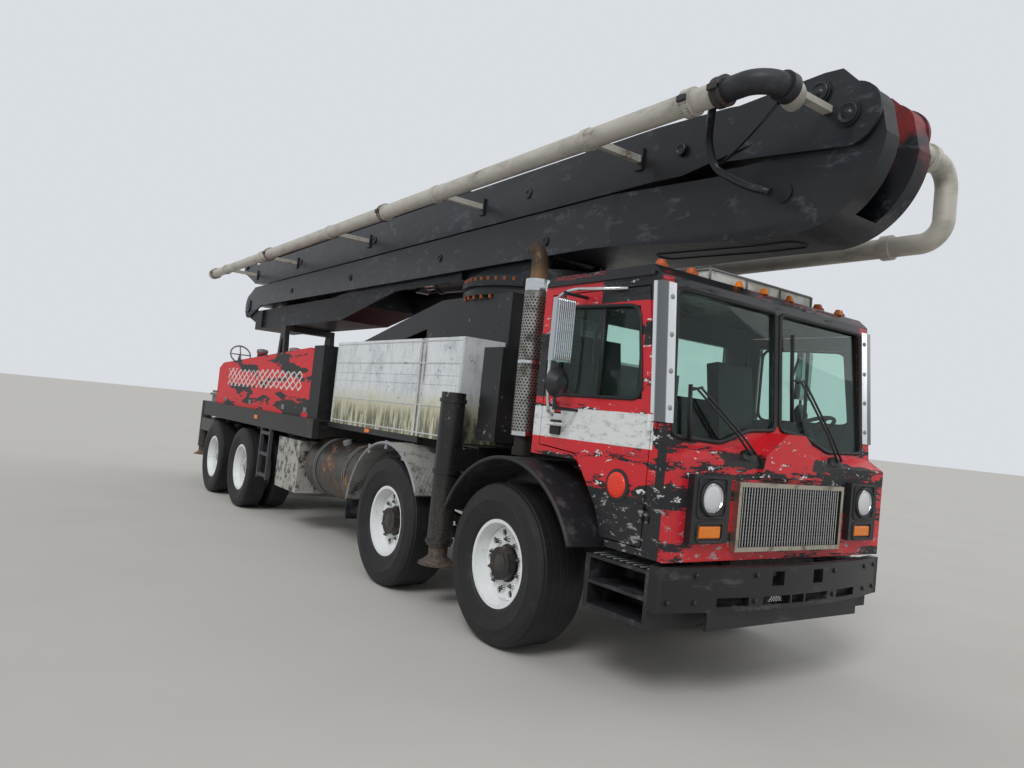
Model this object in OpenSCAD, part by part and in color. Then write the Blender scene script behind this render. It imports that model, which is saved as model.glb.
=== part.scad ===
// Four-axle concrete pump truck with a four-section folding boom, stowed for the road.
// The right-hand side is -X, the cab faces -Y and the wheels stand on z = 0.
// Lengths along the truck are written from the first axle and moved by the overall centre.

/* [Chassis] */
// Second steered axle, behind the first
axle_2 = 1711; // [1660:1:1800]
// First driven axle, behind the first axle
axle_3 = 6105; // [6000:1:6200]
// Distance between the two driven axles
tandem = 1398; // [1360:1:1430]
// Outside radius of the steered tyres
front_tyre_r = 550; // [535:1:555]
// Width of the steered tyres
front_tyre_w = 410; // [370:1:415]
// Outside radius of the driven tyres
rear_tyre_r = 520; // [500:1:525]
// Width of one driven tyre
rear_tyre_w = 276; // [260:1:284]
// Distance from the centreline to the outer rim flange
rim_plane_x = 1200; // [1190:1:1210]
// Half distance over the two frame rails
rail_x = 430; // [420:1:436]
// Underside of the frame rails
rail_z = 780; // [770:1:790]
// Height of the frame rails
rail_h = 280; // [270:1:290]
// Distance of the kingpin from the centreline
kingpin_x = 800; // [790:1:806]

/* [Cab] */
// Half width of the cab
cab_x = 1090; // [1070:1:1110]
// Front face of the cab below the windscreen
cab_front = -1400; // [-1410:1:-1380]
// Rear wall of the cab
cab_rear = -120; // [-140:1:-100]
// Top of the roof panel
roof_z = 2530; // [2500:1:2550]
// Thickness of the cab walls and of the doors
wall = 50; // [40:1:56]
// Gap round a door
door_gap = 8; // [5:1:10]
// Thickness of the window glass
glass_t = 6; // [5:1:8]

/* [Body] */
// Foremost outside face of the side boxes from the centreline
box_x = 1015; // [1000:1:1020]
// Top of the side boxes
box_top = 2170; // [2120:1:2200]
// Deck level behind the tower
deck_z = 1310; // [1300:1:1320]
// Rear end of the deck
deck_end = 8400; // [8390:1:8420]
// Half width of the deck
deck_x = 1180; // [1150:1:1190]

/* [Tower and outriggers] */
// Slewing axis behind the first axle
slew_y = 1600; // [1580:1:1620]
// Radius of the slewing ring
ring_r = 620; // [600:1:640]
// Top of the fixed half of the slewing ring
ring_z = 2700; // [2690:1:2702]
// Centre of the front outrigger legs behind the first axle
leg_y = 900; // [895:1:905]
// Distance of the front legs from the centreline
leg_x = 1130; // [1128:1:1140]
// Outside radius of the leg tubes
leg_r = 98; // [90:1:100]
// Clearance of a sliding or turning part in its guide
slip = 5; // [5:0.5:6]
// Running gap of a pin in its bore or of a rod in its tube
run = 0.5; // [0.3:0.1:0.8]

/* [Boom] */
// Pivot of the first arm behind the first axle
pivot_y = 1050; // [1040:1:1060]
// Height of the pivot of the first arm
pivot_z = 3010; // [3005:1:3015]
// Rear hinge, between the first and second arm
hinge_12_y = 9300; // [9250:1:9350]
// Height of the rear hinge
hinge_12_z = 3010; // [3005:1:3015]
// Front hinge, between the second and third arm, ahead of the first axle
hinge_23_y = -1770; // [-1790:1:-1750]
// Height of the front hinge
hinge_23_z = 3500; // [3495:1:3505]
// Upper hinge, between the third and fourth arm
hinge_34_y = 9900; // [9850:1:9950]
// Height of the upper hinge
hinge_34_z = 3800; // [3795:1:3810]
// Free end of the fourth arm
arm_4_end = 3000; // [2900:1:3200]
// Outside radius of the delivery pipe
pipe_r = 70; // [62:1:76]
// Wall of the delivery pipe
pipe_wall = 6; // [4:1:8]
// Distance of the right-hand delivery pipe from the centreline
pipe_x = 880; // [860:1:900]
// Rear end of the right-hand delivery pipe
pipe_end = 10090; // [10060:1:10140]

/* [Hidden] */
axle_4 = axle_3 + tandem; // second driven axle
$fn = 48;

// Bend radius of the delivery pipe's elbows at the centre line
bend_r = 150;
// Front end of the whole truck: the rounded tip of the second arm
front_end = hinge_23_y - 220;
// Rear end of the whole truck: the open pipe's flange
rear_end = pipe_end;
// Place of the first axle in the part's own frame
axle_1_y = -(front_end + rear_end) / 2;

rail_top = rail_z + rail_h;
front_wheel_x = rim_plane_x - 155;
rear_outer_x = rim_plane_x - 105;
dual_spacing = 330;
// Kingpins, rear spindles, towing sockets and outrigger hinge pins
kingpin_r = 25;
spindle_r = 45;
tow_bore_r = 26;
rear_pin_r = 30;
rear_leg_x = 950;
rail_end = 8200;
rear_hinge_y = rail_end + 100;

// Everything is drawn from the first axle and then moved to the part's frame
module placed() translate([0, axle_1_y, 0]) children();

// Drawn on the right-hand side (-X); side = 1 mirrors it to the left
module on_side(side) {
    if (side > 0) mirror([1, 0, 0]) children();
    else children();
}

module both_sides() {
    children();
    mirror([1, 0, 0]) children();
}

module block(lo, hi) translate(lo) cube(hi - lo);

// A profile drawn in (y, z), thick from x0 to x1
module side_profile(x0, x1) translate([x0, 0, 0]) rotate([90, 0, 90]) linear_extrude(x1 - x0) children();

// A profile drawn in (x, z), thick from y0 to y1
module front_profile(y0, y1) translate([0, y1, 0]) rotate([90, 0, 0]) linear_extrude(y1 - y0) children();

module rod_along_x(y, z, x0, x1, r) translate([x0, y, z]) rotate([0, 90, 0]) cylinder(r = r, h = x1 - x0);

module rod_along_y(x, z, y0, y1, r) translate([x, y0, z]) rotate([-90, 0, 0]) cylinder(r = r, h = y1 - y0);

module disc_2d(y, z, r) translate([y, z]) circle(r);

module frame_rails() placed() {
    rail_t = 10;
    flange = 80;
    crossmembers = [-1150, 520, 1300, 2700, 4200, 5500, 6804, 8120]; // y of each one
    color("dimgray") {
        both_sides() difference() {
            block([-rail_x, -1250, rail_z], [-rail_x + flange, rail_end, rail_top]);
            block([-rail_x + rail_t, -1260, rail_z + rail_t],
                [-rail_x + flange + 1, rail_end + 1, rail_top - rail_t]);
        }
        for (y = crossmembers)
            block([-rail_x + rail_t / 2, y, rail_z + 60], [rail_x - rail_t / 2, y + 80, rail_top - 60]);
        // Front towing member with its two towing pins' sockets
        difference() {
            block([-rail_x, -1330, rail_z - 60], [rail_x, -1250, rail_top - 60]);
            both_sides() rod_along_y(-205, 760, -1340, -1240, tow_bore_r);
        }
        // Sub-frame under the deck
        both_sides() block([-rail_x, 1060, rail_top], [-rail_x + flange, rail_end, deck_z - 20]);
        // Rear crossbeam with the ears of the rear outriggers
        difference() {
            union() {
                block([-830, rail_end, rail_z], [830, rail_end + 200, rail_top]);
                both_sides() for (z = [rail_z, rail_top - 20])
                    block([-rear_leg_x - 110, rail_end, z], [-829, rail_end + 200, z + 20]);
                both_sides() translate([-rear_leg_x, rear_hinge_y, rail_z]) cylinder(r = rear_pin_r,
                    h = rail_h);
            }
            rod_along_y(0, rail_z + 60, rail_end + 100, rail_end + 201, tow_bore_r);
        }
    }
}

// Plain block for the engine, with its mounts and the gearbox behind it
module engine_block() placed() color("gray") {
    block([-330, -1000, 700], [330, 300, 1250]);
    block([-200, 299, 520], [200, 1000, 830]);
    both_sides() for (y = [-900, 100]) block([-rail_x + 10, y, rail_z + 20], [-329, y + 80, rail_z + 100]);
}

// Leaf pack bent to a circle: half length, rise of its ends, number of leaves, and which way it bows
module leaf_pack(x, y, z, half, rise, leaves, up) {
    leaf_t = 16;
    leaf_w = 76;
    r = (half * half + rise * rise) / (2 * rise);
    translate([x + leaf_w / 2, y, z]) mirror([0, 0, up ? 1 : 0])
        for (i = [0:leaves - 1]) {
            a = asin((half - 90 * i) / r);
            translate([0, 0, r]) rotate([0, -90, 0]) rotate([0, 0, 180 - a])
                rotate_extrude(angle = 2 * a, $fn = 96) translate([r + leaf_t * i - leaf_t * leaves, 0])
                    square([leaf_t, leaf_w]);
        }
}

module front_axle(y) {
    beam_top = 500;
    leaves = 4;
    seat = 24;
    spring_low = beam_top + seat;
    both_sides() difference() {
        union() {
            block([-kingpin_x, y - 48, beam_top - 95], [0, y + 48, beam_top]);
            translate([-kingpin_x, y, beam_top - 95]) cylinder(r = 52, h = 150);
        }
        translate([-kingpin_x, y, beam_top - 96]) cylinder(r = kingpin_r + run, h = 152);
    }
    both_sides() {
        block([-rail_x, y - 90, beam_top - 1], [-rail_x + 80, y + 90, spring_low + 2]);
        leaf_pack(-rail_x + 40, y, spring_low - 1, 600, 95, leaves, false);
        for (end = [-1, 1])
            translate([0, y + end * 585, 0]) {
                block([-rail_x + 2, -45, 650], [-rail_x + 78, 45, rail_z]);
                rod_along_x(0, 690, -rail_x + 2, -rail_x + 78, 45);
            }
    }
}

module rear_axle(y) {
    rod_along_x(y, rear_tyre_r, -600, 600, 78);
    both_sides() rod_along_x(y, rear_tyre_r, -1120, -599, spindle_r);
    // Differential housing and its nose
    rod_along_x(y, rear_tyre_r, -120, 120, 190);
    rod_along_x(y, rear_tyre_r, -190, 190, 120);
    rod_along_y(0, rear_tyre_r + 60, y - 300, y + 20, 90);
}

module axles() placed() color("dimgray") {
    front_axle(0);
    front_axle(axle_2);
    mid = (axle_3 + axle_4) / 2;
    rear_axle(axle_3);
    rear_axle(axle_4);
    both_sides() {
        leaf_pack(-rail_x + 40, mid, rail_z - 30, (axle_4 - axle_3) / 2 + 40, 110, 5, true);
        block([-rail_x + 10, mid - 130, rail_z - 60], [-rail_x + 70, mid + 130, rail_z]);
        for (y = [axle_3, axle_4])
            block([-rail_x + 5, y - 60, rear_tyre_r], [-rail_x + 75, y + 60, rear_tyre_r + 150]);
    }
    // Propeller shaft between the driven axles and forward
    rod_along_y(0, rear_tyre_r + 60, 1000, axle_4 - 80, 45);
}

// Side outline of the cab as [y, z, step inward per mm of wall in y, in z]
sill_z = 1500; // lower end of the windscreen's plane
sill_back = 115;
head_back = 207;
cab_points = [[cab_front, 850, 1, 1], [cab_front, 1430, 1, 0], [cab_front + sill_back, sill_z, 1, 0],
    [cab_front + head_back, roof_z - 60, 1, 0], [cab_front + 275, roof_z, 1, -1],
        [cab_rear - 40, roof_z, -1, -1],
    [cab_rear, roof_z - 60, -1, 0], [cab_rear, 1330, -1, 1], [-600, 1330, 0, 1], [-860, 1020, 1, 1],
    [-930, 850, -1, 1]];

module cab_outline(d) polygon([for (p = cab_points) [p[0] + d * p[2], p[1] + d * p[3]]]);

// Door outline, pulled in by d; its lower rear corner follows the wheel arch
door_front = -1215;
door_rear = -205;
door_low = 900;
door_high = 2400;
module door_outline(d) polygon([[door_front + d, door_low + d], [door_front + d, 1700],
    [door_front + 105 + d, door_high - d],
    [door_rear - d, door_high - d], [door_rear - d, 1400 + d], [-580, 1372 + d], [-812 - d, 1065],
        [-880 - d, door_low + d]]);

window = [[-1125, 1735], [-1045, 2290], [-300, 2320], [-300, 1735]]; // side window corners (y, z)
module window_outline(d) polygon([[window[0][0] + d, window[0][1] + d], [window[1][0] + d, window[1][1] - d],
    [window[2][0] - d, window[2][1] - d], [window[3][0] - d, window[3][1] + d]]);

// Half of the two-piece windscreen, drawn in (x, z)
screen_low = 1620;
screen_high = 2405;
module screen_outline(d) polygon([[-985 + d, screen_low - 75 + d], [-960 + d, screen_high - d],
    [-24 - d, screen_high - d],
    [-24 - d, screen_low + 20 + d], [-300, screen_low + d], [-560, screen_low - 92 + d]]);

// Front face of the windscreen pillars at the height z
screen_slope = (head_back - sill_back) / (roof_z - 60 - sill_z);
function pillar_y(z) = cab_front + sill_back + (z - sill_z) * screen_slope;

hinge_out = 16;
door_hinges = [1040, 1560];
module cab_shell() placed() color("crimson") {
    tunnel_x = 500;
    tunnel_top = 1320;
    difference() {
        side_profile(-cab_x, cab_x) cab_outline(0);
        difference() {
            side_profile(-cab_x + wall, cab_x - wall) cab_outline(wall);
            // Engine tunnel and the boxed front
            block([-tunnel_x, cab_front, 800], [tunnel_x, 0, tunnel_top]);
        }
        block([-tunnel_x + wall, cab_front + wall, 800], [tunnel_x - wall, 1, tunnel_top - wall]);
        both_sides() {
            side_profile(-cab_x - 1, -cab_x + wall + 1) door_outline(-door_gap);
            front_profile(cab_front - 1, cab_front + 330) screen_outline(0);
        }
        // Rear windows
        both_sides() block([-800, cab_rear - wall - 1, 1850], [-150, cab_rear + 1, 2300]);
    }
    // Rib where the windscreen halves meet, and the raised centre of the front
    front_profile(cab_front - 22, cab_front + 140)
        polygon([[-330, 1345], [330, 1345], [290, 1480], [90, 1622], [-90, 1622], [-290, 1480]]);
    both_sides() {
        // Polished guards round the front corners
        side_profile(-cab_x - 8, -1000) polygon([for (e = [[-8, 1670], [-8, 2400], [1, 2400], [1, 1670]])
            [pillar_y(e[1]) + e[0], e[1]]]);
        side_profile(-cab_x - 8, -cab_x + 1) polygon([for (e = [[-8, 1670], [-8, 2400], [52, 2400], [44,
            1670]]) [pillar_y(e[1]) + e[0], e[1]]]);
        // Cab halves of the door hinges, with their pins
        for (z = door_hinges) {
            translate([-cab_x - hinge_out, door_front, z]) cylinder(r = hinge_out - run, h = 50);
            translate([-cab_x - hinge_out, door_front, z]) cylinder(r = 6, h = 100);
            block([-cab_x - 8, door_front - 50, z], [-cab_x + 1, door_front, z + 50]);
        }
        // Drip rail along the roof
        block([-cab_x - 14, cab_front + 250, roof_z - 66], [-cab_x + 1, cab_rear - 20, roof_z - 44]);
    }
}

// A pane in the plane of the windscreen, leaning back by its own slope
module cab_glass() placed() color("darkseagreen", 0.5) {
    both_sides() multmatrix([[1, 0, 0, 0], [0, 1, screen_slope, pillar_y(0) + 14], [0, 0, 1, 0],
        [0, 0, 0, 1]])
        front_profile(0, glass_t) screen_outline(0.3);
    both_sides() block([-799.7, cab_rear - wall / 2, 1850.3],
        [-150.3, cab_rear - wall / 2 + glass_t, 2299.7]);
}

module seat_solid(x) translate([x, 0, 0]) {
    block([-230, -590, 1330 + wall], [230, -270, 1330 + wall + 160]);
    translate([0, -330, 1530]) rotate([-8, 0, 0]) block([-215, -60, -20], [215, 50, 620]);
}

module cab_interior() placed() color("darkslategray") {
    for (x = [-740, 740]) seat_solid(x);
    // Dashboard, steering column and wheel on the left
    side_profile(-1030, 1030) polygon([[-1255, 1320], [-1255, 1470], [-1195, 1530], [-1060, 1540],
        [-1060, 1420], [-1160, 1320]]);
    translate([740, -1110, 1480]) rotate([-28, 0, 0]) {
        cylinder(r = 22, h = 240);
        translate([0, 0, 235]) {
            rotate_extrude() translate([190, 0]) circle(14, $fn = 16);
            for (a = [0:120:240]) rotate([0, 0, a - 90]) rotate([0, 90, 0]) cylinder(r = 10, h = 187);
        }
    }
}

// Door with its window, on the side given; it hangs on the front edge
module door(side) placed() on_side(side) color("crimson") difference() {
    union() {
        side_profile(-cab_x, -cab_x + wall) door_outline(0);
        // Door halves of the hinges
        for (z = door_hinges) {
            translate([-cab_x - hinge_out, door_front, z + 50 + run]) cylinder(r = hinge_out + 1, h = 50);
            block([-cab_x - 8, door_front, z + 50 + run], [-cab_x + 1, door_front + 50, z + 100 + run]);
        }
        // Grab handle below the window
        rod_along_x(-330, 1540, -cab_x - 30, -cab_x + 1, 12);
        rod_along_x(-460, 1540, -cab_x - 30, -cab_x + 1, 12);
        rod_along_y(-cab_x - 30, 1540, -472, -318, 12);
    }
    side_profile(-cab_x - 1, -cab_x + wall + 1) window_outline(0);
    block([-cab_x - 1, -400, 1610], [-cab_x + 18, -320, 1690]);
    for (z = door_hinges) translate([-cab_x - hinge_out, door_front, z + 49]) cylinder(r = 6 + run, h = 53);
}

module door_glass(side) placed() on_side(side) color("darkseagreen", 0.5) {
    side_profile(-cab_x + 22, -cab_x + 22 + glass_t) window_outline(0.3);
}

// Mirror head on a looped tube that is bolted to the door
module mirror_arm(side) placed() on_side(side) color("silver") {
    tube_r = 11;
    out = -cab_x - 190;
    rod_along_x(-560, 2365, out, -cab_x, tube_r);
    rod_along_x(-560, 1640, out, -cab_x, tube_r);
    translate([out, -560, 1629]) cylinder(r = tube_r, h = 747);
    block([out - 75, -590, 1930], [out + 75, -545, 2325]);
    translate([out, -567.5, 1800]) rotate([90, 0, 0]) cylinder(r1 = 95, r2 = 40, h = 45);
}

module front_bumper() placed() color("dimgray") {
    half = 1114;
    low = 577;
    high = 828;
    bow = 130;
    y_end = -1390;
    r = (half * half + bow * bow) / (2 * bow);
    difference() {
        union() {
            translate([0, 0, low]) linear_extrude(high - low) difference() {
                intersection() {
                    translate([0, y_end - bow + r]) circle(r, $fn = 256);
                    translate([-half, y_end - bow - 1]) square([2 * half, 200 + bow]);
                }
                translate([0, y_end - bow + r]) circle(r - 60, $fn = 256);
            }
            both_sides() block([-half, y_end - 8, low], [-half + 60, -1345, high]);
            both_sides() block([-rail_x + 2, -1460, 620], [-rail_x + 70, -1330, 780]);
            // Apron below
            block([-760, y_end - 70, 470], [760, y_end - 50, low + 1]);
        }
        both_sides() {
            block([-260, -1600, 715], [-150, -1300, 800]);
            for (x = [-700, -330]) block([x, -1600, 605], [x + 250, -1400, 655]);
        }
        block([-60, -1600, 605], [60, -1400, 655]);
    }
}

module grille() placed() color("tan") {
    half = 543;
    low = 905;
    high = 1314;
    back = cab_front;
    difference() {
        block([-half, back - 40, low], [half, back, high]);
        block([-half + 28, back - 41, low + 28], [half - 28, back + 1, high - 28]);
    }
    for (i = [1:15]) block([-half + 27, back - 26, low + 28 + i * 22],
        [half - 27, back - 12, low + 34 + i * 22]);
    for (i = [1:13]) block([-half + i * 77.6 - 3, back - 24, low + 27],
        [-half + i * 77.6 + 3, back - 4, high - 27]);
}

module lamps() placed() {
    color("black") both_sides() difference() {
        block([-945, cab_front - 45, 960], [-625, cab_front, 1344]);
        translate([-785, cab_front - 20, 1215]) rotate([90, 0, 0]) cylinder(r = 96, h = 30);
        block([-880, cab_front - 46, 985], [-690, cab_front - 30, 1060]);
    }
    color("white") both_sides() translate([-785, cab_front - 20, 1215]) rotate([90, 0, 0])
        cylinder(r1 = 92, r2 = 80, h = 24);
    color("orange") {
        both_sides() block([-876, cab_front - 44, 989], [-694, cab_front - 30, 1056]);
        for (x = [-950, -680, 680, 950]) translate([x, cab_front + 360, roof_z]) {
            cylinder(r = 45, h = 30);
            translate([0, 0, 29]) cylinder(r1 = 38, r2 = 25, h = 30);
        }
    }
    color("whitesmoke") block([-540, cab_front + 330, roof_z], [540, cab_front + 450, roof_z + 85]);
}

// Arch of a mudguard: centre (y, z), inner radius, from angle to angle, over x0..x1
module arch(y, z, r, a0, a1, x0, x1, t) translate([x0, y, z]) rotate([90, 0, 90]) rotate([0, 0, a0])
    rotate_extrude(angle = a1 - a0, $fn = 96) translate([r, 0]) square([t, x1 - x0]);

module fenders() placed() {
    inner_x = -1250;
    color("black") both_sides() {
        arch(-60, 465, 800, 26, 154, inner_x, -835, 25);
        // Stay from the mudguard to the frame
        block([-836, -90, 1255], [-rail_x - 1, -30, 1285]);
        block([-rail_x - 60, -90, 980], [-rail_x, -30, 1256]);
        // Step box below the door
        difference() {
            block([-1110, -1326, 470], [-620, -800, 790]);
            block([-1111, -1300, 640], [-800, -840, 770]);
            block([-1111, -1300, 500], [-800, -840, 620]);
        }
        block([-640, -1200, 700], [-rail_x, -1100, 840]);
    }
    color("silver") both_sides() {
        // The second mudguard clears its tyre by the same gap at any tyre size
        guard_y = axle_2 + 49;
        guard_z = 500;
        guard_r = front_tyre_r + 155;
        stay_z = guard_z + guard_r - 17;
        arch(guard_y, guard_z, guard_r, 10, 151, inner_x, -835, 25);
        block([-836, guard_y - 30, stay_z], [-rail_x - 1, guard_y + 30, stay_z + 28]);
        block([-rail_x - 60, guard_y - 30, 980], [-rail_x, guard_y + 30, stay_z + 1]);
        block([inner_x + 6, guard_y + guard_r - 7, 440], [-841, guard_y + guard_r + 5, 636]);
    }
}

module exhaust_stack() placed() {
    x = -980;
    y = 140;
    foot = 1290;
    straight = 1380;
    bend = 150;
    color("silver") difference() {
        translate([x, y, 1430]) cylinder(r = 90, h = 1130);
        translate([x, y, 1420]) cylinder(r = 84, h = 1150);
    }
    color("sienna") {
        difference() {
            union() {
                translate([x, y, foot]) cylinder(r = 60, h = straight);
                // Outlet bent towards the rear
                translate([x, y + bend, foot + straight]) rotate([90, 0, 90]) rotate([0, 0, 118])
                    rotate_extrude(angle = 62) translate([bend, 0]) circle(60);
            }
            translate([x, y + bend, foot + straight]) rotate([90, 0, 90]) rotate([0, 0, 116])
                rotate_extrude(angle = 30) translate([bend, 0]) circle(54);
        }
        for (z = [1500, 2450]) difference() {
            union() {
                block([x - 86, y - 15, z], [x + 86, y + 15, z + 20]);
                block([x - 15, y - 86, z], [x + 15, y + 86, z + 20]);
            }
            translate([x, y, z - 1]) cylinder(r = 58, h = 22);
        }
    }
    color("dimgray") {
        block([x + 50, y - 30, foot], [-rail_x + 30, y + 30, foot + 40]);
        block([-rail_x, y - 30, rail_top], [-rail_x + 60, y + 30, foot + 1]);
        translate([x, y, foot]) cylinder(r = 70, h = 60);
    }
}

tank_r = 320;
module tanks() placed() both_sides() color("saddlebrown") {
    rod_along_y(-790, 800, 2620, 3980, tank_r);
    for (y = [2880, 3660]) {
        rod_along_y(-790, 800, y, y + 60, tank_r + 6);
        block([-790, y, 900], [-rail_x, y + 60, 1000]);
    }
}

module tool_boxes() placed() {
    color("lightgray") both_sides() {
        block([-1140, 4120, 450], [-rail_x - 60, 4840, 1040]);
        block([-rail_x - 61, 4300, 800], [-rail_x, 4660, 1000]);
    }
    // Ladder up to the deck
    color("gray") {
        for (y = [5080, 5420]) block([-1180, y, 470], [-1140, y + 40, deck_z - 210]);
        for (z = [500, 760, 1020]) block([-1180, 5110, z], [-1140, 5430, z + 40]);
    }
}

// Tower, deck and body boxes
beam_h = 180;
beam_w = 96;
beam_z = 1090;
beam_step = 55; // half distance between the two outrigger beams
tower_x = 560;
module pedestal() placed() color("black") {
    pocket = slip;
    difference() {
        block([-925, leg_y - beam_step - beam_w / 2 - 18, rail_top],
            [925, leg_y + beam_step + beam_w / 2 + 18, beam_z + beam_h + 20]);
        for (s = [-1, 1])
            block([-926, leg_y + s * beam_step - beam_w / 2 - pocket, beam_z - run],
                [926, leg_y + s * beam_step + beam_w / 2 + pocket, beam_z + beam_h + pocket]);
    }
    // Tower with its rear gusset walls
    difference() {
        side_profile(-tower_x, tower_x) polygon([[1050, deck_z - 20], [1050, ring_z - 80],
            [2260, ring_z - 80],
            [4600, 2130], [4600, deck_z - 20]]);
        side_profile(-tower_x + 30, tower_x - 30) polygon([[2300, 1450], [2300, ring_z - 170], [4500,
            2090], [4500, 1450]]);
        both_sides() side_profile(-tower_x - 1, -tower_x + 31) polygon([[2500, 1560], [2500, 2350],
            [4300, 2010], [4300, 1560]]);
    }
    block([-tower_x, 850, beam_z + beam_h + 20], [tower_x, 1051, 1800]);
    translate([0, slew_y, ring_z - 81]) cylinder(r = ring_r, h = 51);
    translate([0, slew_y, ring_z - 31]) cylinder(r = ring_r - 30, h = 31);
    // Cabinet between the cab and the tower
    block([-tower_x, 400, rail_top], [tower_x, 770, 2080]);
    block([-980, 500, 1350], [-tower_x + 1, 760, 2080]);
    block([tower_x - 1, 500, 1350], [980, 760, 2080]);
}

rest_z = 2595;
module deck() placed() color("dimgray") {
    y0 = 3700;
    side_t = 70;
    both_sides() {
        block([-deck_x, y0, deck_z - 210], [-deck_x + side_t, deck_end, deck_z]);
        block([-box_x + 5, 1650, deck_z - 66], [-box_x + 65, y0 + 119, deck_z - 10]);
        block([-deck_x + side_t - 1, y0, deck_z - 20], [-tower_x, 4603, deck_z]);
        for (y = [y0 + 40, 5000, 6300, 7600, deck_end - 120])
            block([-deck_x + side_t - 1, y, deck_z - 100], [-rail_x, y + 80, deck_z - 20]);
    }
    difference() {
        block([-deck_x + side_t - 1, 4602, deck_z - 20], [deck_x - side_t + 1, deck_end, deck_z]);
        block([-300, 7700, deck_z - 21], [300, deck_end + 1, deck_z + 1]);
    }
    // Rest that carries the folded boom
    both_sides() {
        side_profile(-400, -330) polygon([[7100, deck_z - 1], [7300, rest_z - 80], [7500, rest_z - 80],
            [7700, deck_z - 1],
            [7600, deck_z - 1], [7430, rest_z - 200], [7370, rest_z - 200], [7200, deck_z - 1]]);
    }
    block([-400, 7300, rest_z - 81], [400, 7500, rest_z]);
}

module side_boxes() placed() both_sides() {
    inner = -tower_x - 60;
    front = 1000;
    rear = 3620;
    color("whitesmoke") difference() {
        block([-box_x, front, deck_z - 10], [inner, rear, box_top]);
        // Seams between the panels
        block([-box_x - 1, 1700, deck_z], [-box_x + 6, 1712, box_top + 1]);
        for (z = [1760, 1840]) block([-box_x - 1, front + 1, z], [-box_x + 5, rear - 1, z + 5]);
    }
}

module rear_covers() placed() both_sides() {
    inner = -tower_x - 10;
    outer = -1120;
    color("black") block([outer, 3760, deck_z], [-620, 4060, 2130]);
    color("firebrick") difference() {
        side_profile(outer, inner) polygon([[4062, deck_z], [4062, 2060], [4180, 2110], [7800, 1930],
            [8000, 1850], [8000, deck_z]]);
        for (y = [5300, 6650]) block([outer - 1, y, deck_z - 1], [outer + 6, y + 6, 2120]);
    }
    // Filler caps and pots on top
    color("gray") for (y = [4500, 5600, 7000]) translate([-800, y, 1900]) cylinder(r = 70, h = 260);
}

hopper_front = 8620;
hopper_rear = 9560;
hopper_top = 1440;
hopper_x = 790;
agitator_y = 9060;
agitator_z = 1010;
module hopper_shape(d) hull() {
    block([-hopper_x + d, hopper_front + d, hopper_top - 260],
        [hopper_x - d, hopper_rear - d, hopper_top + (d > 0 ? 1 : 0)]);
    block([-330 + d, hopper_front + d, 620 + d], [330 - d, 9200 - d, 700]);
}
module hopper() placed() color("dimgray") {
    t = 14;
    difference() {
        union() {
            hopper_shape(0);
            block([-hopper_x - 30, hopper_front - 30, hopper_top - 40],
                [hopper_x + 30, hopper_rear + 30, hopper_top]);
            both_sides() block([-rail_x, rail_end + 200, 900], [-rail_x + 60, hopper_front + 5, 1060]);
        }
        hopper_shape(t);
        for (x = [-cyl_x, cyl_x]) rod_along_y(x, cyl_z, hopper_front - 40, hopper_front + 30, 100);
        rod_along_x(agitator_y, agitator_z, -hopper_x - 40, hopper_x + 40, 45);
    }
    both_sides() difference() {
        rod_along_x(agitator_y, agitator_z, -hopper_x - 10, -hopper_x + 210, 75);
        rod_along_x(agitator_y, agitator_z, -hopper_x - 11, -hopper_x + 211, 30 + run);
        hopper_shape(t);
    }
    // Hinge lugs of the grate and the step below
    both_sides() difference() {
        block([-600, hopper_front - 66, hopper_top - 40], [-560, hopper_front - 25, hopper_top + 48]);
        rod_along_x(hopper_front - 45, hopper_top + 25, -601, -559, 14 + run);
    }
    difference() {
        for (x = [-400, 360]) block([x, 9330, 480], [x + 40, 9370, 960]);
        hopper_shape(t);
    }
    block([-700, 9150, 470], [700, 9400, 500]);
}

cyl_x = 150;
cyl_z = 1180;
module delivery_cylinders() placed() color("gray") {
    for (x = [-cyl_x, cyl_x]) {
        rod_along_y(x, cyl_z, 6100, hopper_front + 13, 99);
        rod_along_y(x, cyl_z, 5000, 5901, 62);
        block([x - 110, 5900, cyl_z - 105], [x + 110, 6101, cyl_z + 105]);
    }
    // Saddles between the two halves of the sub-frame
    for (y = [5950, 7950]) block([-rail_x + 80, y, cyl_z - 95], [rail_x - 80, y + 100, cyl_z - 40]);
}

module hopper_grate() placed() color("gray") {
    y0 = hopper_front + 10;
    y1 = hopper_rear + 10;
    z = hopper_top + 5;
    difference() {
        block([-hopper_x, y0, z], [hopper_x, y1, z + 40]);
        block([-hopper_x + 30, y0 + 30, z - 1], [hopper_x - 30, y1 - 30, z + 41]);
    }
    for (i = [1:9]) block([-hopper_x + i * 158 - 6, y0 + 29, z + 5],
        [-hopper_x + i * 158 + 6, y1 - 29, z + 35]);
    block([-hopper_x + 29, (y0 + y1) / 2 - 8, z], [hopper_x - 29, (y0 + y1) / 2 + 8, z + 15]);
    // Hinge arms back to the lugs
    both_sides() {
        block([-640, hopper_front - 50, z + 5], [-605, y0 + 1, z + 35]);
        rod_along_x(hopper_front - 45, z + 20, -640, -562, 14);
    }
}

module agitator() placed() color("gray") {
    rod_along_x(agitator_y, agitator_z, -hopper_x - 40, hopper_x + 40, 30);
    for (i = [-2:2]) translate([i * 120, agitator_y, agitator_z]) rotate([i * 72, 0, 0]) {
        block([-12, -20, 0], [12, 20, 170]);
        block([-45, -30, 150], [45, 30, 188]);
    }
}

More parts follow.
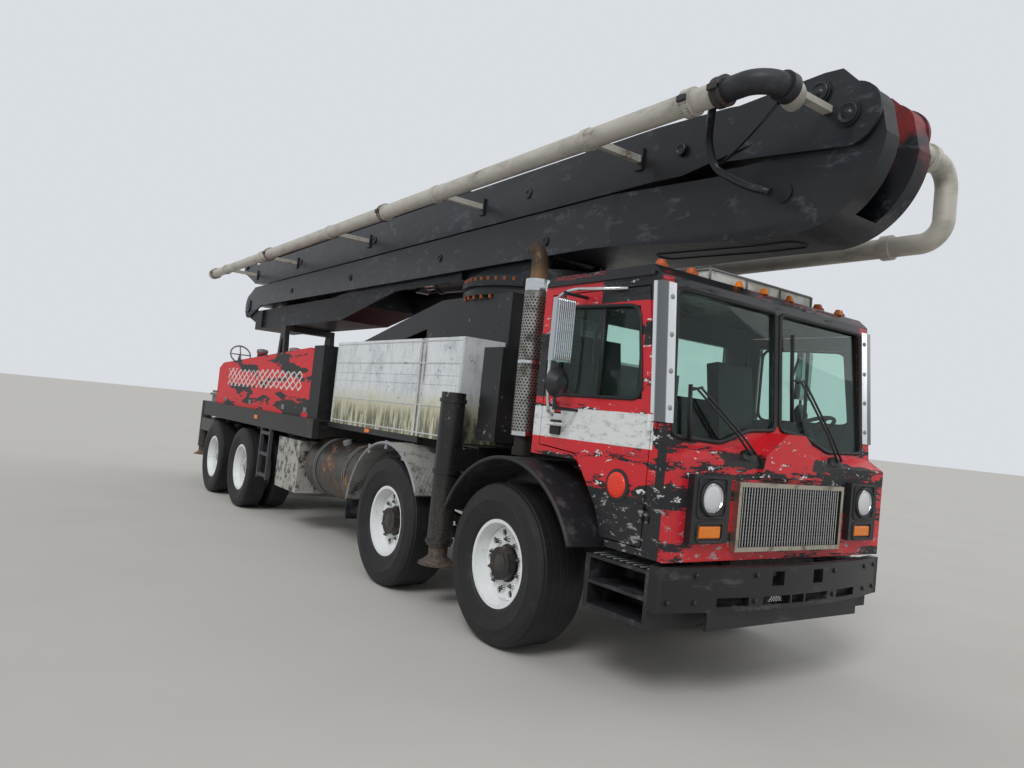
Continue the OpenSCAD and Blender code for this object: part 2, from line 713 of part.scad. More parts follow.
// Wheels and knuckles
knuckle_len = 330;
module knuckle(side, y) placed() on_side(side) translate([0, y, 0]) color("gray") {
    z = front_tyre_r;
    // Kingpin with its upper and lower arms round the axle's eye
    translate([-kingpin_x, 0, 380]) cylinder(r = kingpin_r, h = 230);
    translate([-kingpin_x, 0, 380]) cylinder(r = 56, h = 20);
    translate([-kingpin_x, 0, 560]) cylinder(r = 56, h = 60);
    block([-kingpin_x - 110, -55, 380], [-kingpin_x - 60, 55, 640]);
    block([-kingpin_x - 70, -50, 380], [-kingpin_x, 50, 400]);
    block([-kingpin_x - 70, -50, 560], [-kingpin_x, 50, 620]);
    // Brake plate and stub axle
    rod_along_x(0, z, -kingpin_x - 125, -kingpin_x - 105, 190);
    rod_along_x(0, z, -kingpin_x - knuckle_len, -kingpin_x - 100, spindle_r);
    // Steering arm
    block([-kingpin_x - 20, 40, 585], [-kingpin_x + 30, 240, 615]);
}

// Outline of a tyre of outside radius r and width w on a rim of radius b, in (radius, axial)
module tyre_2d(r, w, b) {
    polygon([[b, -w * 0.36], [b + 30, -w * 0.42], [(r + b) / 2 + 10, -w / 2], [r - 45, -w * 0.47],
        [r - 14, -w * 0.43],
        [r, -w * 0.36], [r, w * 0.36], [r - 14, w * 0.43], [r - 45, w * 0.47], [(r + b) / 2 + 10, w / 2],
        [b + 30, w * 0.42], [b, w * 0.36]]);
}

// Axis along X, outer side towards -X; disc at 'face' from the rim's middle
module rim_2d(b, half, face, hub_r) {
    polygon([[b + 12, -half], [b + 12, -half + 12], [b - 6, -half + 14], [b - 30, -half * 0.3],
        [b - 30, half * 0.3], [b - 6, half - 14],
        [b + 12, half - 12], [b + 12, half], [b - 14, half], [b - 42, half * 0.3], [b - 42, face + 12],
        [hub_r, face + 14], [hub_r, face], [b - 42, face - 4], [b - 42, -half * 0.3], [b - 14, -half]]);
}

module turned(x, y, z) translate([x, y, z]) rotate([0, 90, 0]) rotate_extrude($fn = 96) children();

rim_r = 290;
front_face = -60;
module front_wheel(side, y) placed() on_side(side) color("black") {
    x = -front_wheel_x;
    difference() {
        union() {
            turned(x, y, front_tyre_r) tyre_2d(front_tyre_r, front_tyre_w, rim_r);
            turned(x, y, front_tyre_r) rim_2d(rim_r, 155, front_face, 100);
            // Hub and its nuts
            rod_along_x(y, front_tyre_r, x - 130, x + 60, 112);
            rod_along_x(y, front_tyre_r, x + 20, x + 110, 180);
            for (a = [0:36:324]) rotate_about_x(y, front_tyre_r, a) rod_along_x(y, front_tyre_r + 167,
                x + front_face - 30, x + front_face + 1, 17);
        }
        rod_along_x(y, front_tyre_r, -kingpin_x - knuckle_len - slip, 0, spindle_r + run);
        for (a = [0:36:324]) rotate_about_x(y, front_tyre_r, a + 18) rod_along_x(y, front_tyre_r + 210,
            x - 100, x, 25);
    }
}

module rotate_about_x(y, z, a) translate([0, y, z]) rotate([a, 0, 0]) translate([0, -y, -z]) children();

module rear_wheel(side, y) placed() on_side(side) color("black") {
    r = rear_tyre_r;
    difference() {
        union() {
            for (x = [-rear_outer_x, -rear_outer_x + dual_spacing]) turned(x, y, r) tyre_2d(r,
                rear_tyre_w, rim_r);
            turned(-rear_outer_x, y, r) rim_2d(rim_r, 105, 75, 100);
            turned(-rear_outer_x + dual_spacing, y, r) mirror([0, 1, 0]) rim_2d(rim_r, 105, 75, 100);
            rod_along_x(y, r, -rear_outer_x - 20, -rear_outer_x + 300, 120);
            // Distance ring between the two rims
            turned(-rear_outer_x, y, r) polygon([[230, 80], [246, 80], [246, 262], [230, 262]]);
            for (a = [0:36:324]) rotate_about_x(y, r, a) rod_along_x(y, r + 167, -rear_outer_x + 45,
                -rear_outer_x + 76, 17);
        }
        rod_along_x(y, r, -1121 - slip, 0, spindle_r + run);
        for (a = [0:36:324]) rotate_about_x(y, r, a + 18) rod_along_x(y, r + 205, -rear_outer_x + 60,
            -rear_outer_x + 100, 22);
    }
}

// Outriggers
front_reach = 1650;
foot_z = 350;
module outrigger_front(side) placed() on_side(side) color("black") {
    y = leg_y + side * beam_step;
    inner = -leg_x + front_reach;
    difference() {
        union() {
            translate([-leg_x, leg_y, 500]) cylinder(r = leg_r, h = 1200);
            block([-leg_x, y - beam_w / 2, beam_z], [inner, y + beam_w / 2, beam_z + beam_h]);
        }
        translate([-leg_x, leg_y, 499]) cylinder(r = leg_r - 22, h = 1150);
    }
}

module jack_front(side) placed() on_side(side) color("gray") {
    translate([-leg_x, leg_y, foot_z + 30]) cylinder(r = leg_r - 22 - run, h = 900);
    translate([-leg_x, leg_y, foot_z]) cylinder(r = 150, h = 14);
    translate([-leg_x, leg_y, foot_z + 13]) cylinder(r1 = 140, r2 = leg_r - 20, h = 50);
}

rear_reach = 850;
rear_leg_r = 85;
rear_foot_z = 400;
module outrigger_rear(side) placed() on_side(side) color("black") difference() {
    jack_y = rear_hinge_y + rear_reach;
    union() {
        translate([-rear_leg_x, rear_hinge_y, rail_z + 26]) cylinder(r = 90, h = rail_h - 52);
        block([-rear_leg_x - 78, rear_hinge_y, rail_z + 40], [-rear_leg_x + 78, jack_y, rail_z + 240]);
        translate([-rear_leg_x, jack_y, 540]) cylinder(r = rear_leg_r, h = 760);
    }
    translate([-rear_leg_x, rear_hinge_y, rail_z]) cylinder(r = rear_pin_r + run, h = rail_h);
    translate([-rear_leg_x, jack_y, 539]) cylinder(r = rear_leg_r - 20, h = 720);
}

module jack_rear(side) placed() on_side(side) translate([-rear_leg_x, rear_hinge_y + rear_reach,
    rear_foot_z]) color("gray") {
    translate([0, 0, 25]) cylinder(r = rear_leg_r - 20 - run, h = 640);
    cylinder(r = 135, h = 14);
    translate([0, 0, 13]) cylinder(r1 = 120, r2 = rear_leg_r - 22, h = 45);
}

// Boom. Every arm is drawn in its folded place, as profiles in (y, z) with named half widths
plate = 25;
root_x = 285; // half width of the first arm between the cheeks
arm_1_x = 340;
arm_2_x = 420;
arm_3_x = 360;
arm_4_x = 270;
cheek_in = 295;
cheek_out = 335;
nose_x = 250; // half width of the second arm's nose
ear_x = 285; // outside of the third arm's ears
hinge_r = 55;
slot_x = 112; // half width of the slot in which a rod and its lugs move
rod_r = 45;
eye_half = 50; // half length of an eye on a rod
eye_room = eye_half + 6;
lug_in = 60;
lug_out = 86;

// Lift cylinder: foot on the turret and eye under the first arm
foot_y = 1950;
foot_zc = 2930;
eye_y = 3750;
eye_z = 2990;
lift_a = atan2(eye_z - foot_zc, eye_y - foot_y);
lift_len = norm([eye_y - foot_y, eye_z - foot_zc]);
lift_r = 105;
lift_rod_r = 58;

// Arm cylinders: their lines run through the hinges, the eyes rest this far short of them
throw_2 = 300;
throw_4 = 250;
function along(hinge, d, slope) = [hinge[0] + d * cos(slope), hinge[1] - abs(d) * sin(slope)];
hinge_12 = [hinge_12_y, hinge_12_z];
hinge_23 = [hinge_23_y, hinge_23_z];
hinge_34 = [hinge_34_y, hinge_34_z];
eye_2 = along(hinge_12, -throw_2, 8);
foot_2 = along(hinge_12, -1815, 8);
eye_3 = along(hinge_23, throw_2, 8.7);
foot_3 = along(hinge_23, 2400, 8.7);
eye_4 = along(hinge_34, -throw_4, 7.3);
foot_4 = along(hinge_34, -1915, 7.3);

// Aims its children, drawn along +Y from the origin, from one point (y, z) to another
module aimed(from, to) translate([0, from[0], from[1]])
    rotate([atan2(to[1] - from[1], to[0] - from[0]), 0, 0]) children();

module barrel(from, to, length, r, bore) aimed(from, to) difference() {
    union() {
        rod_along_y(0, 0, -64, length, r);
        rod_along_y(0, 0, length - 60, length, r + 10);
    }
    rod_along_y(0, 0, 120, length + 1, bore);
}

module piston_rod(from, to, inside, r, half, pin_r) aimed(from, to) {
    reach = norm(to - from);
    difference() {
        union() {
            rod_along_y(0, 0, inside, reach - 30, r);
            rod_along_x(reach, 0, -half, half, r * 1.6);
        }
        rod_along_x(reach, 0, -half - 1, half + 1, pin_r);
    }
}

module turret() placed() color("midnightblue") {
    translate([0, slew_y, ring_z + run]) cylinder(r = ring_r - 20, h = 100 - run);
    translate([0, slew_y, ring_z + run]) cylinder(r = ring_r + 10, h = 50 - run);
    translate([0, pivot_y, ring_z + 20]) cylinder(r = 420, h = 115);
    both_sides() difference() {
        side_profile(-cheek_out, -cheek_in) union() {
            polygon([[pivot_y - 150, pivot_z], [pivot_y - 150, ring_z + 90], [2140, ring_z + 90],
                [2100, ring_z + 180],
                [pivot_y + 120, pivot_z + 120]]);
            disc_2d(pivot_y, pivot_z, 150);
        }
        rod_along_x(pivot_y, pivot_z, -cheek_out - 1, -cheek_in + 1, 60 + run);
    }
    // Lugs of the lift cylinder's foot
    both_sides() difference() {
        side_profile(-150, -lift_r - 12) union() {
            polygon([[foot_y - 160, ring_z + 90], [foot_y + 160, ring_z + 90], [foot_y + 70, foot_zc],
                [foot_y - 70, foot_zc]]);
            disc_2d(foot_y, foot_zc, 80);
        }
        rod_along_x(foot_y, foot_zc, -151, -lift_r, 40 + run);
    }
}

module lift_barrel() placed() color("gray") {
    barrel([foot_y, foot_zc], [eye_y, eye_z], 1350, lift_r, lift_rod_r + run);
    rod_along_x(foot_y, foot_zc, -149, 149, 40);
}

module lift_rod() placed() color("silver") piston_rod([foot_y, foot_zc], [eye_y, eye_z], 150, lift_rod_r,
    80, 42);

module arm_1() placed() color("midnightblue") {
    low = pivot_z - 135;
    top = pivot_z + 160;
    tail_low = 2600;
    tail_top = 2920;
    box_end = hinge_12_y - 220;
    difference() {
        union() {
            // Root plates between the turret's cheeks
            both_sides() side_profile(-root_x, -root_x + plate) union() {
                polygon([[pivot_y, low], [2600, low], [2600, top], [pivot_y, top]]);
                disc_2d(pivot_y, pivot_z, 160);
            }
            both_sides() block([-arm_1_x, 2300, low], [-root_x + plate, 2600, top]);
            rod_along_x(pivot_y, pivot_z, -root_x, root_x, 110);
            rod_along_x(pivot_y, pivot_z, -cheek_out - 4, cheek_out + 4, 60);
            block([-root_x, pivot_y + 100, top - plate], [root_x, 2301, top]);
            // Side plates and top plate of the channel that is open below
            both_sides() side_profile(-arm_1_x, -arm_1_x + plate)
                polygon([[2300, low], [3750, low], [5300, tail_low], [5400, tail_low], [5400, tail_top],
                    [3600, top], [2300, top]]);
            side_profile(-arm_1_x + 1, arm_1_x - 1)
                polygon([[2301, top - plate], [3600, top - plate], [4600, top - plate - 130],
                    [4600, top - 130], [3600, top - 1], [2301, top - 1]]);
            // Closed box behind it
            side_profile(-arm_1_x + 1, arm_1_x - 1) polygon([[4500, low - 138], [4500, top - 118], [5600,
                tail_top],
                [box_end, tail_top], [box_end, tail_low], [5300, tail_low]]);
            // Ears of the rear hinge
            both_sides() side_profile(-385, -300) union() {
                polygon([[8600, tail_low + 20], [8600, tail_top - 20], [hinge_12_y - 165, tail_top],
                    hinge_12, [hinge_12_y + 60, hinge_12_z - 180]]);
                disc_2d(hinge_12_y, hinge_12_z, 190);
            }
            // Brackets beside the lift cylinder's eye
            both_sides() side_profile(-150, -lift_r - 12)
                polygon([[eye_y - 120, eye_z - 60], [eye_y + 120, eye_z - 60],
                    [eye_y + 120, top - plate - 20], [eye_y - 120, top - 20]]);
        }
        // Room for the second arm's cylinder
        block([-slot_x, foot_2[0] - 150, tail_low + 30], [slot_x, 7901, tail_top - 40]);
        block([-slot_x, 7900, tail_low + 30], [slot_x, box_end + 1, tail_top + 1]);
        both_sides() rod_along_x(hinge_12_y, hinge_12_z, -390, -290, hinge_r + run);
    }
    barrel(foot_2, eye_2, 900, 78, rod_r + run);
    rod_along_x(foot_2[0], foot_2[1], -slot_x - 2, slot_x + 2, 60);
    // Feet of the pipe brackets
    for (y = pipe_1_brackets) block([arm_1_x - 1, y, low], [arm_1_x + 30, y + 60, low + 40]);
}

// Side view of the second arm (y, z)
module arm_2_side() {
    nose = [hinge_23_y + 330, 3400];
    box_end = hinge_12_y - 250;
    intersection() {
        disc_2d(nose[0], nose[1], 550);
        translate([nose[0] - 650, 2800]) square([1300, 560]);
    }
    disc_2d(hinge_23_y, hinge_23_z, 180);
    polygon([[nose[0] - 548, 3350], [hinge_23_y - 172, hinge_23_z + 50], [hinge_23_y + 70, hinge_23_z + 165],
        [nose[0] + 50, 3350]]);
    polygon([[nose[0], 2850], [-1000, 2860], [300, 2930], [3200, 2950], [8600, 2985],
        [hinge_12_y - 60, hinge_12_z - 195],
        [hinge_12_y + 205, hinge_12_z], [hinge_12_y + 120, hinge_12_z + 165], [box_end, 3320],
            [nose[0], 3320]]);
    disc_2d(hinge_12_y, hinge_12_z, 205);
}

module arm_2() placed() color("midnightblue") {
    top = 3320;
    box_end = hinge_12_y - 250;
    difference() {
        union() {
            both_sides() intersection() {
                side_profile(-arm_2_x, -arm_2_x + plate) arm_2_side();
                block([-arm_2_x - 1, 740, 2700], [0, hinge_12_y + 300, 3800]);
            }
            // Closed front box, drawn in towards the nose
            intersection() {
                side_profile(-arm_2_x, arm_2_x) arm_2_side();
                translate([0, 0, 2700]) linear_extrude(1100) polygon([[-arm_2_x, 760], [-arm_2_x, 50],
                    [-nose_x, -1000],
                    [-nose_x, -2300], [nose_x, -2300], [nose_x, -1000], [arm_2_x, 50], [arm_2_x, 760]]);
            }
            // Top plate and the closed box at the rear
            side_profile(-arm_2_x + 1, arm_2_x - 1)
                polygon([[700, top - 40], [700, top - 1], [box_end - 1, top - 1], [box_end - 1, top - 40]]);
            side_profile(-arm_2_x + 1, arm_2_x - 1)
                polygon([[5700, 3000], [5700, top - 1], [box_end - 1, top - 1], [box_end - 1, 3000]]);
            both_sides() {
                // Stub pins of the rear hinge, and bosses near the nose
                rod_along_x(hinge_12_y, hinge_12_z, -arm_2_x - 25, -305, hinge_r);
                rod_along_x(hinge_12_y, hinge_12_z, -arm_2_x - 20, -arm_2_x, 110);
                rod_along_x(-1350, 3120, -nose_x - 9, -nose_x + 1, 60);
            }
        }
        // Room for the second arm's own cylinder below
        block([-slot_x, 7900, 2990], [slot_x, box_end + 1, 3110]);
        block([-eye_room, box_end - 32, 3109], [eye_room, box_end + 1, 3146]);
        // Room for the third arm's cylinder and its lugs
        block([-slot_x, hinge_23_y - 400, 2950], [slot_x, 101, 3790]);
        block([-slot_x, 100, 2990], [slot_x, foot_3[0] + 100, 3275]);
        both_sides() rod_along_x(hinge_23_y, hinge_23_z, -nose_x - 1, -nose_x + 50, hinge_r + run);
        // Notch that lets the pipe out of the first arm's pivot on the left
        block([arm_2_x - 30, pivot_y - 90, 2900], [arm_2_x + 1, pivot_y + 90, pivot_z + 90]);
    }
    // Lugs on the eye of the second arm's cylinder
    both_sides() side_profile(-lug_out, -lug_in) difference() {
        union() {
            disc_2d(eye_2[0], eye_2[1], 85);
            polygon([[eye_2[0] - 85, eye_2[1]], [eye_2[0] - 85, 3111], [box_end - 1, 3111],
                [box_end, 3060], [eye_2[0] + 80, eye_2[1] + 20]]);
        }
        disc_2d(eye_2[0], eye_2[1], 28);
    }
    barrel(foot_3, eye_3, 880, 78, rod_r + run);
    rod_along_x(foot_3[0], foot_3[1], -slot_x - 2, slot_x + 2, 60);
}

module arm_3() placed() color("midnightblue") {
    low = 3365;
    top = 3750;
    box_end = 9350;
    difference() {
        union() {
            intersection() {
                side_profile(-arm_3_x, arm_3_x) polygon([[-1150, 3490], [-1150, top], [-900, top + 20],
                    [box_end, top],
                    [box_end, low + 60], [8600, low], [-560, low]]);
                translate([0, 0, 3300]) linear_extrude(600) polygon([[-arm_3_x, 9400], [-arm_3_x, -300],
                    [-ear_x, -1151],
                    [ear_x, -1151], [arm_3_x, -300], [arm_3_x, 9400]]);
            }
            // Ears of the front hinge, outside the second arm
            both_sides() {
                side_profile(-ear_x, -nose_x - 10) union() {
                    disc_2d(hinge_23_y, hinge_23_z, 190);
                    polygon([[hinge_23_y - 185, hinge_23_z + 40], [hinge_23_y + 60, top + 40],
                        [hinge_23_y + 180, top + 50], [-700, top + 10],
                        [-300, 3600], [-700, 3430], [hinge_23_y + 60, hinge_23_z - 180]]);
                }
                rod_along_x(hinge_23_y, hinge_23_z, -ear_x - 20, -nose_x + 45, hinge_r);
                for (p = [hinge_23, hinge_23 + [200, 180]]) rod_along_x(p[0], p[1], -ear_x - 16,
                    -ear_x + 1, 75);
                // Lugs on the eye of its cylinder
                side_profile(-lug_out, -lug_in) difference() {
                    union() {
                        disc_2d(eye_3[0], eye_3[1], 85);
                        polygon([[eye_3[0], eye_3[1] + 85], [-1149, top - 30], [-1149, 3500],
                            [eye_3[0] + 85, eye_3[1]]]);
                    }
                    disc_2d(eye_3[0], eye_3[1], 28);
                }
                // Ears of the upper hinge
                side_profile(-arm_3_x, -arm_3_x + plate) union() {
                    polygon([[box_end - 50, low + 60], [box_end - 50, top],
                        [hinge_34_y, hinge_34_z + 165], [hinge_34_y, hinge_34_z - 165]]);
                    disc_2d(hinge_34_y, hinge_34_z, 170);
                }
            }
            // Feet of the delivery pipe's brackets
            for (y = bracket_list) block([-arm_3_x - 20, y - 40, pipe_3_z - 80],
                [-arm_3_x + 1, y + 40, pipe_3_z + 80]);
        }
        block([-slot_x, foot_4[0] - 150, low + 50], [slot_x, 8401, top - 50]);
        block([-slot_x, 8400, low + 50], [slot_x, box_end + 1, top + 30]);
        both_sides() rod_along_x(hinge_34_y, hinge_34_z, -arm_3_x - 1, -arm_3_x + plate + 1, hinge_r + run);
    }
    barrel(foot_4, eye_4, 1050, 70, rod_r + run);
    rod_along_x(foot_4[0], foot_4[1], -slot_x - 2, slot_x + 2, 55);
}

module arm_4() placed() color("midnightblue") {
    low = 3840;
    top = 4020;
    box_end = hinge_34_y - 260;
    difference() {
        side_profile(-arm_4_x, arm_4_x) polygon([[arm_4_end, low + 40], [arm_4_end, top], [box_end, top],
            [box_end, low], [4200, low]]);
        // Room for the eye of its cylinder's rod
        block([-eye_room, box_end - 42, low - 1], [eye_room, box_end + 1, low + 46]);
    }
    both_sides() {
        // Ears between the third arm's ears
        side_profile(-325, -arm_4_x + 1) union() {
            polygon([[box_end - 300, low + 20], [box_end - 300, top - 20],
                [hinge_34_y, hinge_34_z + 150], [hinge_34_y, hinge_34_z - 150],
                [box_end - 60, low + 10]]);
            disc_2d(hinge_34_y, hinge_34_z, 155);
        }
        rod_along_x(hinge_34_y, hinge_34_z, -arm_3_x - 22, -arm_4_x, hinge_r);
        rod_along_x(hinge_34_y, hinge_34_z, -arm_3_x - 22, -arm_3_x - 6, 90);
        side_profile(-lug_out, -lug_in) difference() {
            union() {
                disc_2d(eye_4[0], eye_4[1], 75);
                polygon([[eye_4[0] - 75, eye_4[1]], [eye_4[0] - 75, low + 1], [box_end, low + 1],
                    [eye_4[0] + 75, eye_4[1]]]);
            }
            disc_2d(eye_4[0], eye_4[1], 28);
        }
    }
    // Delivery pipe of the last arm on its left side
    difference() {
        union() {
            rod_along_y(arm_4_x + 110, 3930, arm_4_end, 9500, pipe_r - 10);
            for (y = [arm_4_end, 5200, 7400, 9470]) rod_along_y(arm_4_x + 110, 3930, y, y + 30, pipe_r + 6);
            for (y = [3600, 6300, 9000]) block([arm_4_x - 1, y, 3900], [arm_4_x + 80, y + 60, 3960]);
        }
        rod_along_y(arm_4_x + 110, 3930, arm_4_end - 1, 9501, pipe_r - 10 - pipe_wall);
    }
}

module rod_2() placed() color("silver") piston_rod(foot_2, eye_2, 130, rod_r, eye_half, 30);

module rod_3() placed() color("silver") piston_rod(foot_3, eye_3, 130, rod_r, eye_half, 30);

module rod_4() placed() color("silver") piston_rod(foot_4, eye_4, 130, rod_r, eye_half, 30);

// Delivery pipes
bracket_list = [-150, 2000, 4600, 7200, 9200];
pipe_3_z = 3560;
pipe_3_y = hinge_23_y + 140; // middle of its front elbow's outlet
pipe_1_brackets = [2800, 6200, 8300];
left_in = 600;
left_out = left_in + 2 * bend_r + 10;

// Elbow: centre of the bend, rotation of its plane, start angle and turn
module elbow(c, plane, a0, turn) translate(c) rotate(plane) rotate([0, 0, a0])
    rotate_extrude(angle = turn, $fn = 64)
    translate([bend_r, 0]) circle(pipe_r);

module clamp_y(x, z, y) rod_along_y(x, z, y - 35, y + 35, pipe_r + 18);

module clamp_x(y, z, x) rod_along_x(y, z, x - 30, x + 30, pipe_r + 18);

module pipe_1() placed() color("gray") {
    rod_along_x(pivot_y, pivot_z, cheek_out + 8, left_in - bend_r, pipe_r);
    elbow([left_in - bend_r, pivot_y + bend_r, pivot_z], [0, 0, 0], -90, 90);
    rod_along_y(left_in, pivot_z, pivot_y + bend_r, hinge_12_y - bend_r, pipe_r);
    elbow([left_in + bend_r, hinge_12_y - bend_r, pivot_z], [0, 0, 0], 90, 90);
    for (y = [1500, 3000, 4200, 6400, 8600]) clamp_y(left_in, pivot_z, y);
    for (y = pipe_1_brackets) {
        block([arm_1_x + 30, y, pivot_z - 135], [left_in + 40, y + 60, pivot_z - 95]);
        block([left_in - 30, y, pivot_z - 96], [left_in + 30, y + 60, pivot_z - 50]);
    }
}

module pipe_2() placed() color("gray") {
    x_in = left_out - bend_r;
    z = hinge_12_z;
    elbow([x_in, hinge_12_y - bend_r, z], [0, 0, 0], 0, 90);
    rod_along_x(hinge_12_y, z, left_in + bend_r + slip, x_in + 20, pipe_r + 18);
    rod_along_y(left_out, z, hinge_23_y + bend_r, hinge_12_y - bend_r, pipe_r);
    elbow([left_out, hinge_23_y + bend_r, z + bend_r], [90, 0, 90], 180, 90);
    translate([left_out, hinge_23_y, z + bend_r]) cylinder(r = pipe_r, h = hinge_23_z - z - 2 * bend_r);
    elbow([x_in, hinge_23_y, hinge_23_z - bend_r], [90, 0, 0], 0, 90);
    rod_along_x(hinge_23_y, hinge_23_z, ear_x + 30, x_in, pipe_r);
    clamp_x(hinge_23_y, hinge_23_z, 640);
    for (y = [-1400, 1700, 4300, 6800]) clamp_y(left_out, z, y);
    for (y = [100, 3200, 8000]) {
        block([arm_2_x, y, z + 110], [left_out + 20, y + 70, z + 150]);
        block([left_out - 20, y, z + 50], [left_out + 20, y + 70, z + 111]);
    }
}

module pipe_3() placed() color("cornsilk") {
    z = pipe_3_z;
    front = pipe_3_y + bend_r;
    turn_x = -pipe_x + bend_r;
    difference() {
        union() {
            rod_along_y(-pipe_x, z, front, pipe_end, pipe_r);
            elbow([turn_x, front, z], [0, 0, 0], 180, 90);
            rod_along_x(pipe_3_y, z, turn_x, turn_x + 60, pipe_r);
            clamp_x(pipe_3_y, z, turn_x + 30);
            // Second elbow back to the boom, open where the next pipe is missing
            elbow([turn_x + 60, front, z], [0, 0, 0], -90, 60);
            block([-620, pipe_3_y - 30, z - 20], [-ear_x, pipe_3_y + 30, z + 20]);
            for (y = [-1100, 3100, 6900, 9900, pipe_end - 35]) clamp_y(-pipe_x, z, y);
            for (y = bracket_list) {
                block([-pipe_x, y - 25, z - 25], [-arm_3_x - 20, y + 25, z + 25]);
                rod_along_y(-pipe_x, z, y - 30, y + 30, pipe_r + 10);
            }
        }
        rod_along_y(-pipe_x, z, 9000, pipe_end + 1, pipe_r - pipe_wall);
    }
}

frame_rails();
engine_block();
cab_shell();
cab_glass();
cab_interior();
front_bumper();
grille();
lamps();
fenders();
exhaust_stack();
tanks();
tool_boxes();
pedestal();
deck();
side_boxes();
rear_covers();
hopper();
delivery_cylinders();
axles();
door(-1);  // door_right
door(1);  // door_left
door_glass(-1);  // door_glass_right
door_glass(1);  // door_glass_left
mirror_arm(-1);  // mirror_right
mirror_arm(1);  // mirror_left
hopper_grate();
agitator();
knuckle(-1, 0);  // knuckle_1_right
knuckle(1, 0);  // knuckle_1_left
knuckle(-1, axle_2);  // knuckle_2_right
knuckle(1, axle_2);  // knuckle_2_left
front_wheel(-1, 0);  // wheel_1_right
front_wheel(1, 0);  // wheel_1_left
front_wheel(-1, axle_2);  // wheel_2_right
front_wheel(1, axle_2);  // wheel_2_left
rear_wheel(-1, axle_3);  // wheel_3_right
rear_wheel(1, axle_3);  // wheel_3_left
rear_wheel(-1, axle_4);  // wheel_4_right
rear_wheel(1, axle_4);  // wheel_4_left
outrigger_front(-1);  // outrigger_front_right
outrigger_front(1);  // outrigger_front_left
jack_front(-1);  // jack_front_right
jack_front(1);  // jack_front_left
outrigger_rear(-1);  // outrigger_rear_right
outrigger_rear(1);  // outrigger_rear_left
jack_rear(-1);  // jack_rear_right
jack_rear(1);  // jack_rear_left
turret();
arm_1();
arm_2();
arm_3();
arm_4();
pipe_1();
pipe_2();
pipe_3();
lift_barrel();
lift_rod();
rod_2();
rod_3();
rod_4();
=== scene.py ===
from math import cos, pi, radians, sin, sqrt

import bmesh
import bpy
from mathutils import Matrix, Vector


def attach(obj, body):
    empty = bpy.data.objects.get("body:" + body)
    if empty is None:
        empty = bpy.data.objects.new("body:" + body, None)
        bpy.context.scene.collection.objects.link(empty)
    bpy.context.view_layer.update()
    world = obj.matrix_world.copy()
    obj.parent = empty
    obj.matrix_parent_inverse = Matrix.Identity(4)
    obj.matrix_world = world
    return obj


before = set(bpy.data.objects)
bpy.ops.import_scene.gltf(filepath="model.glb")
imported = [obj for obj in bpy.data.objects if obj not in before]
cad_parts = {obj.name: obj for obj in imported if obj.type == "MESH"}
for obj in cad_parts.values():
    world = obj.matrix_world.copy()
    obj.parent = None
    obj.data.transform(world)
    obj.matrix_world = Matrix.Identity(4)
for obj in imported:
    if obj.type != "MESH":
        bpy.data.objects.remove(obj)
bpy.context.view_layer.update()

# The truck stands on a plain pale floor in soft light. The camera stands at eye height off its
# front right-hand corner and looks along it, as in the photograph.
scene = bpy.context.scene
scene.view_settings.view_transform = "Standard"
lens = bpy.data.cameras.new("camera")
lens.sensor_width, lens.lens = 36.0, 26.757
lens.clip_end = 400.0
camera = bpy.data.objects.new("camera", lens)
scene.collection.objects.link(camera)
eye = (-4.2473, -8.3248, 1.5659)
to_right, to_top, to_back = (0.8096, -0.5783, 0.1007), (-0.1060, 0.0248, 0.9940), (-0.5776, -0.8153, -0.0412)
camera.matrix_world = Matrix.Translation(eye) @ Matrix((to_right, to_top, to_back)).transposed().to_4x4()
scene.camera = camera


def tone(code):
    """A colour as it is seen, from its six hexadecimal digits, as linear light."""
    seen = [int(code[i : i + 2], 16) / 255 for i in (0, 2, 4)]
    return tuple(c / 12.92 if c < 0.04045 else ((c + 0.055) / 1.055) ** 2.4 for c in seen) + (1.0,)


class Reading:
    """A number that varies over a finish. Sums, products and comparisons of readings add Math nodes."""

    def __init__(self, finish, socket):
        self.finish, self.socket = finish, socket

    def sum_of(self, operation, first, second):
        return self.finish.node("ShaderNodeMath", {"operation": operation}, {0: first, 1: second})

    def __add__(self, other):
        return self.sum_of("ADD", self, other)

    def __sub__(self, other):
        return self.sum_of("SUBTRACT", self, other)

    def __rsub__(self, other):
        return self.sum_of("SUBTRACT", other, self)

    def __mul__(self, other):
        return self.sum_of("MULTIPLY", self, other)

    def __gt__(self, other):
        return self.sum_of("GREATER_THAN", self, other)

    def __lt__(self, other):
        return self.sum_of("LESS_THAN", self, other)

    def __pow__(self, other):
        return self.sum_of("POWER", self, other)

    def __mod__(self, other):
        return self.sum_of("FLOORED_MODULO", self, other)

    def __abs__(self):
        return self.sum_of("ABSOLUTE", self, 0.0)

    __radd__, __rmul__ = __add__, __mul__

    def output(self, name):
        return Reading(self.finish, self.socket.node.outputs[name])


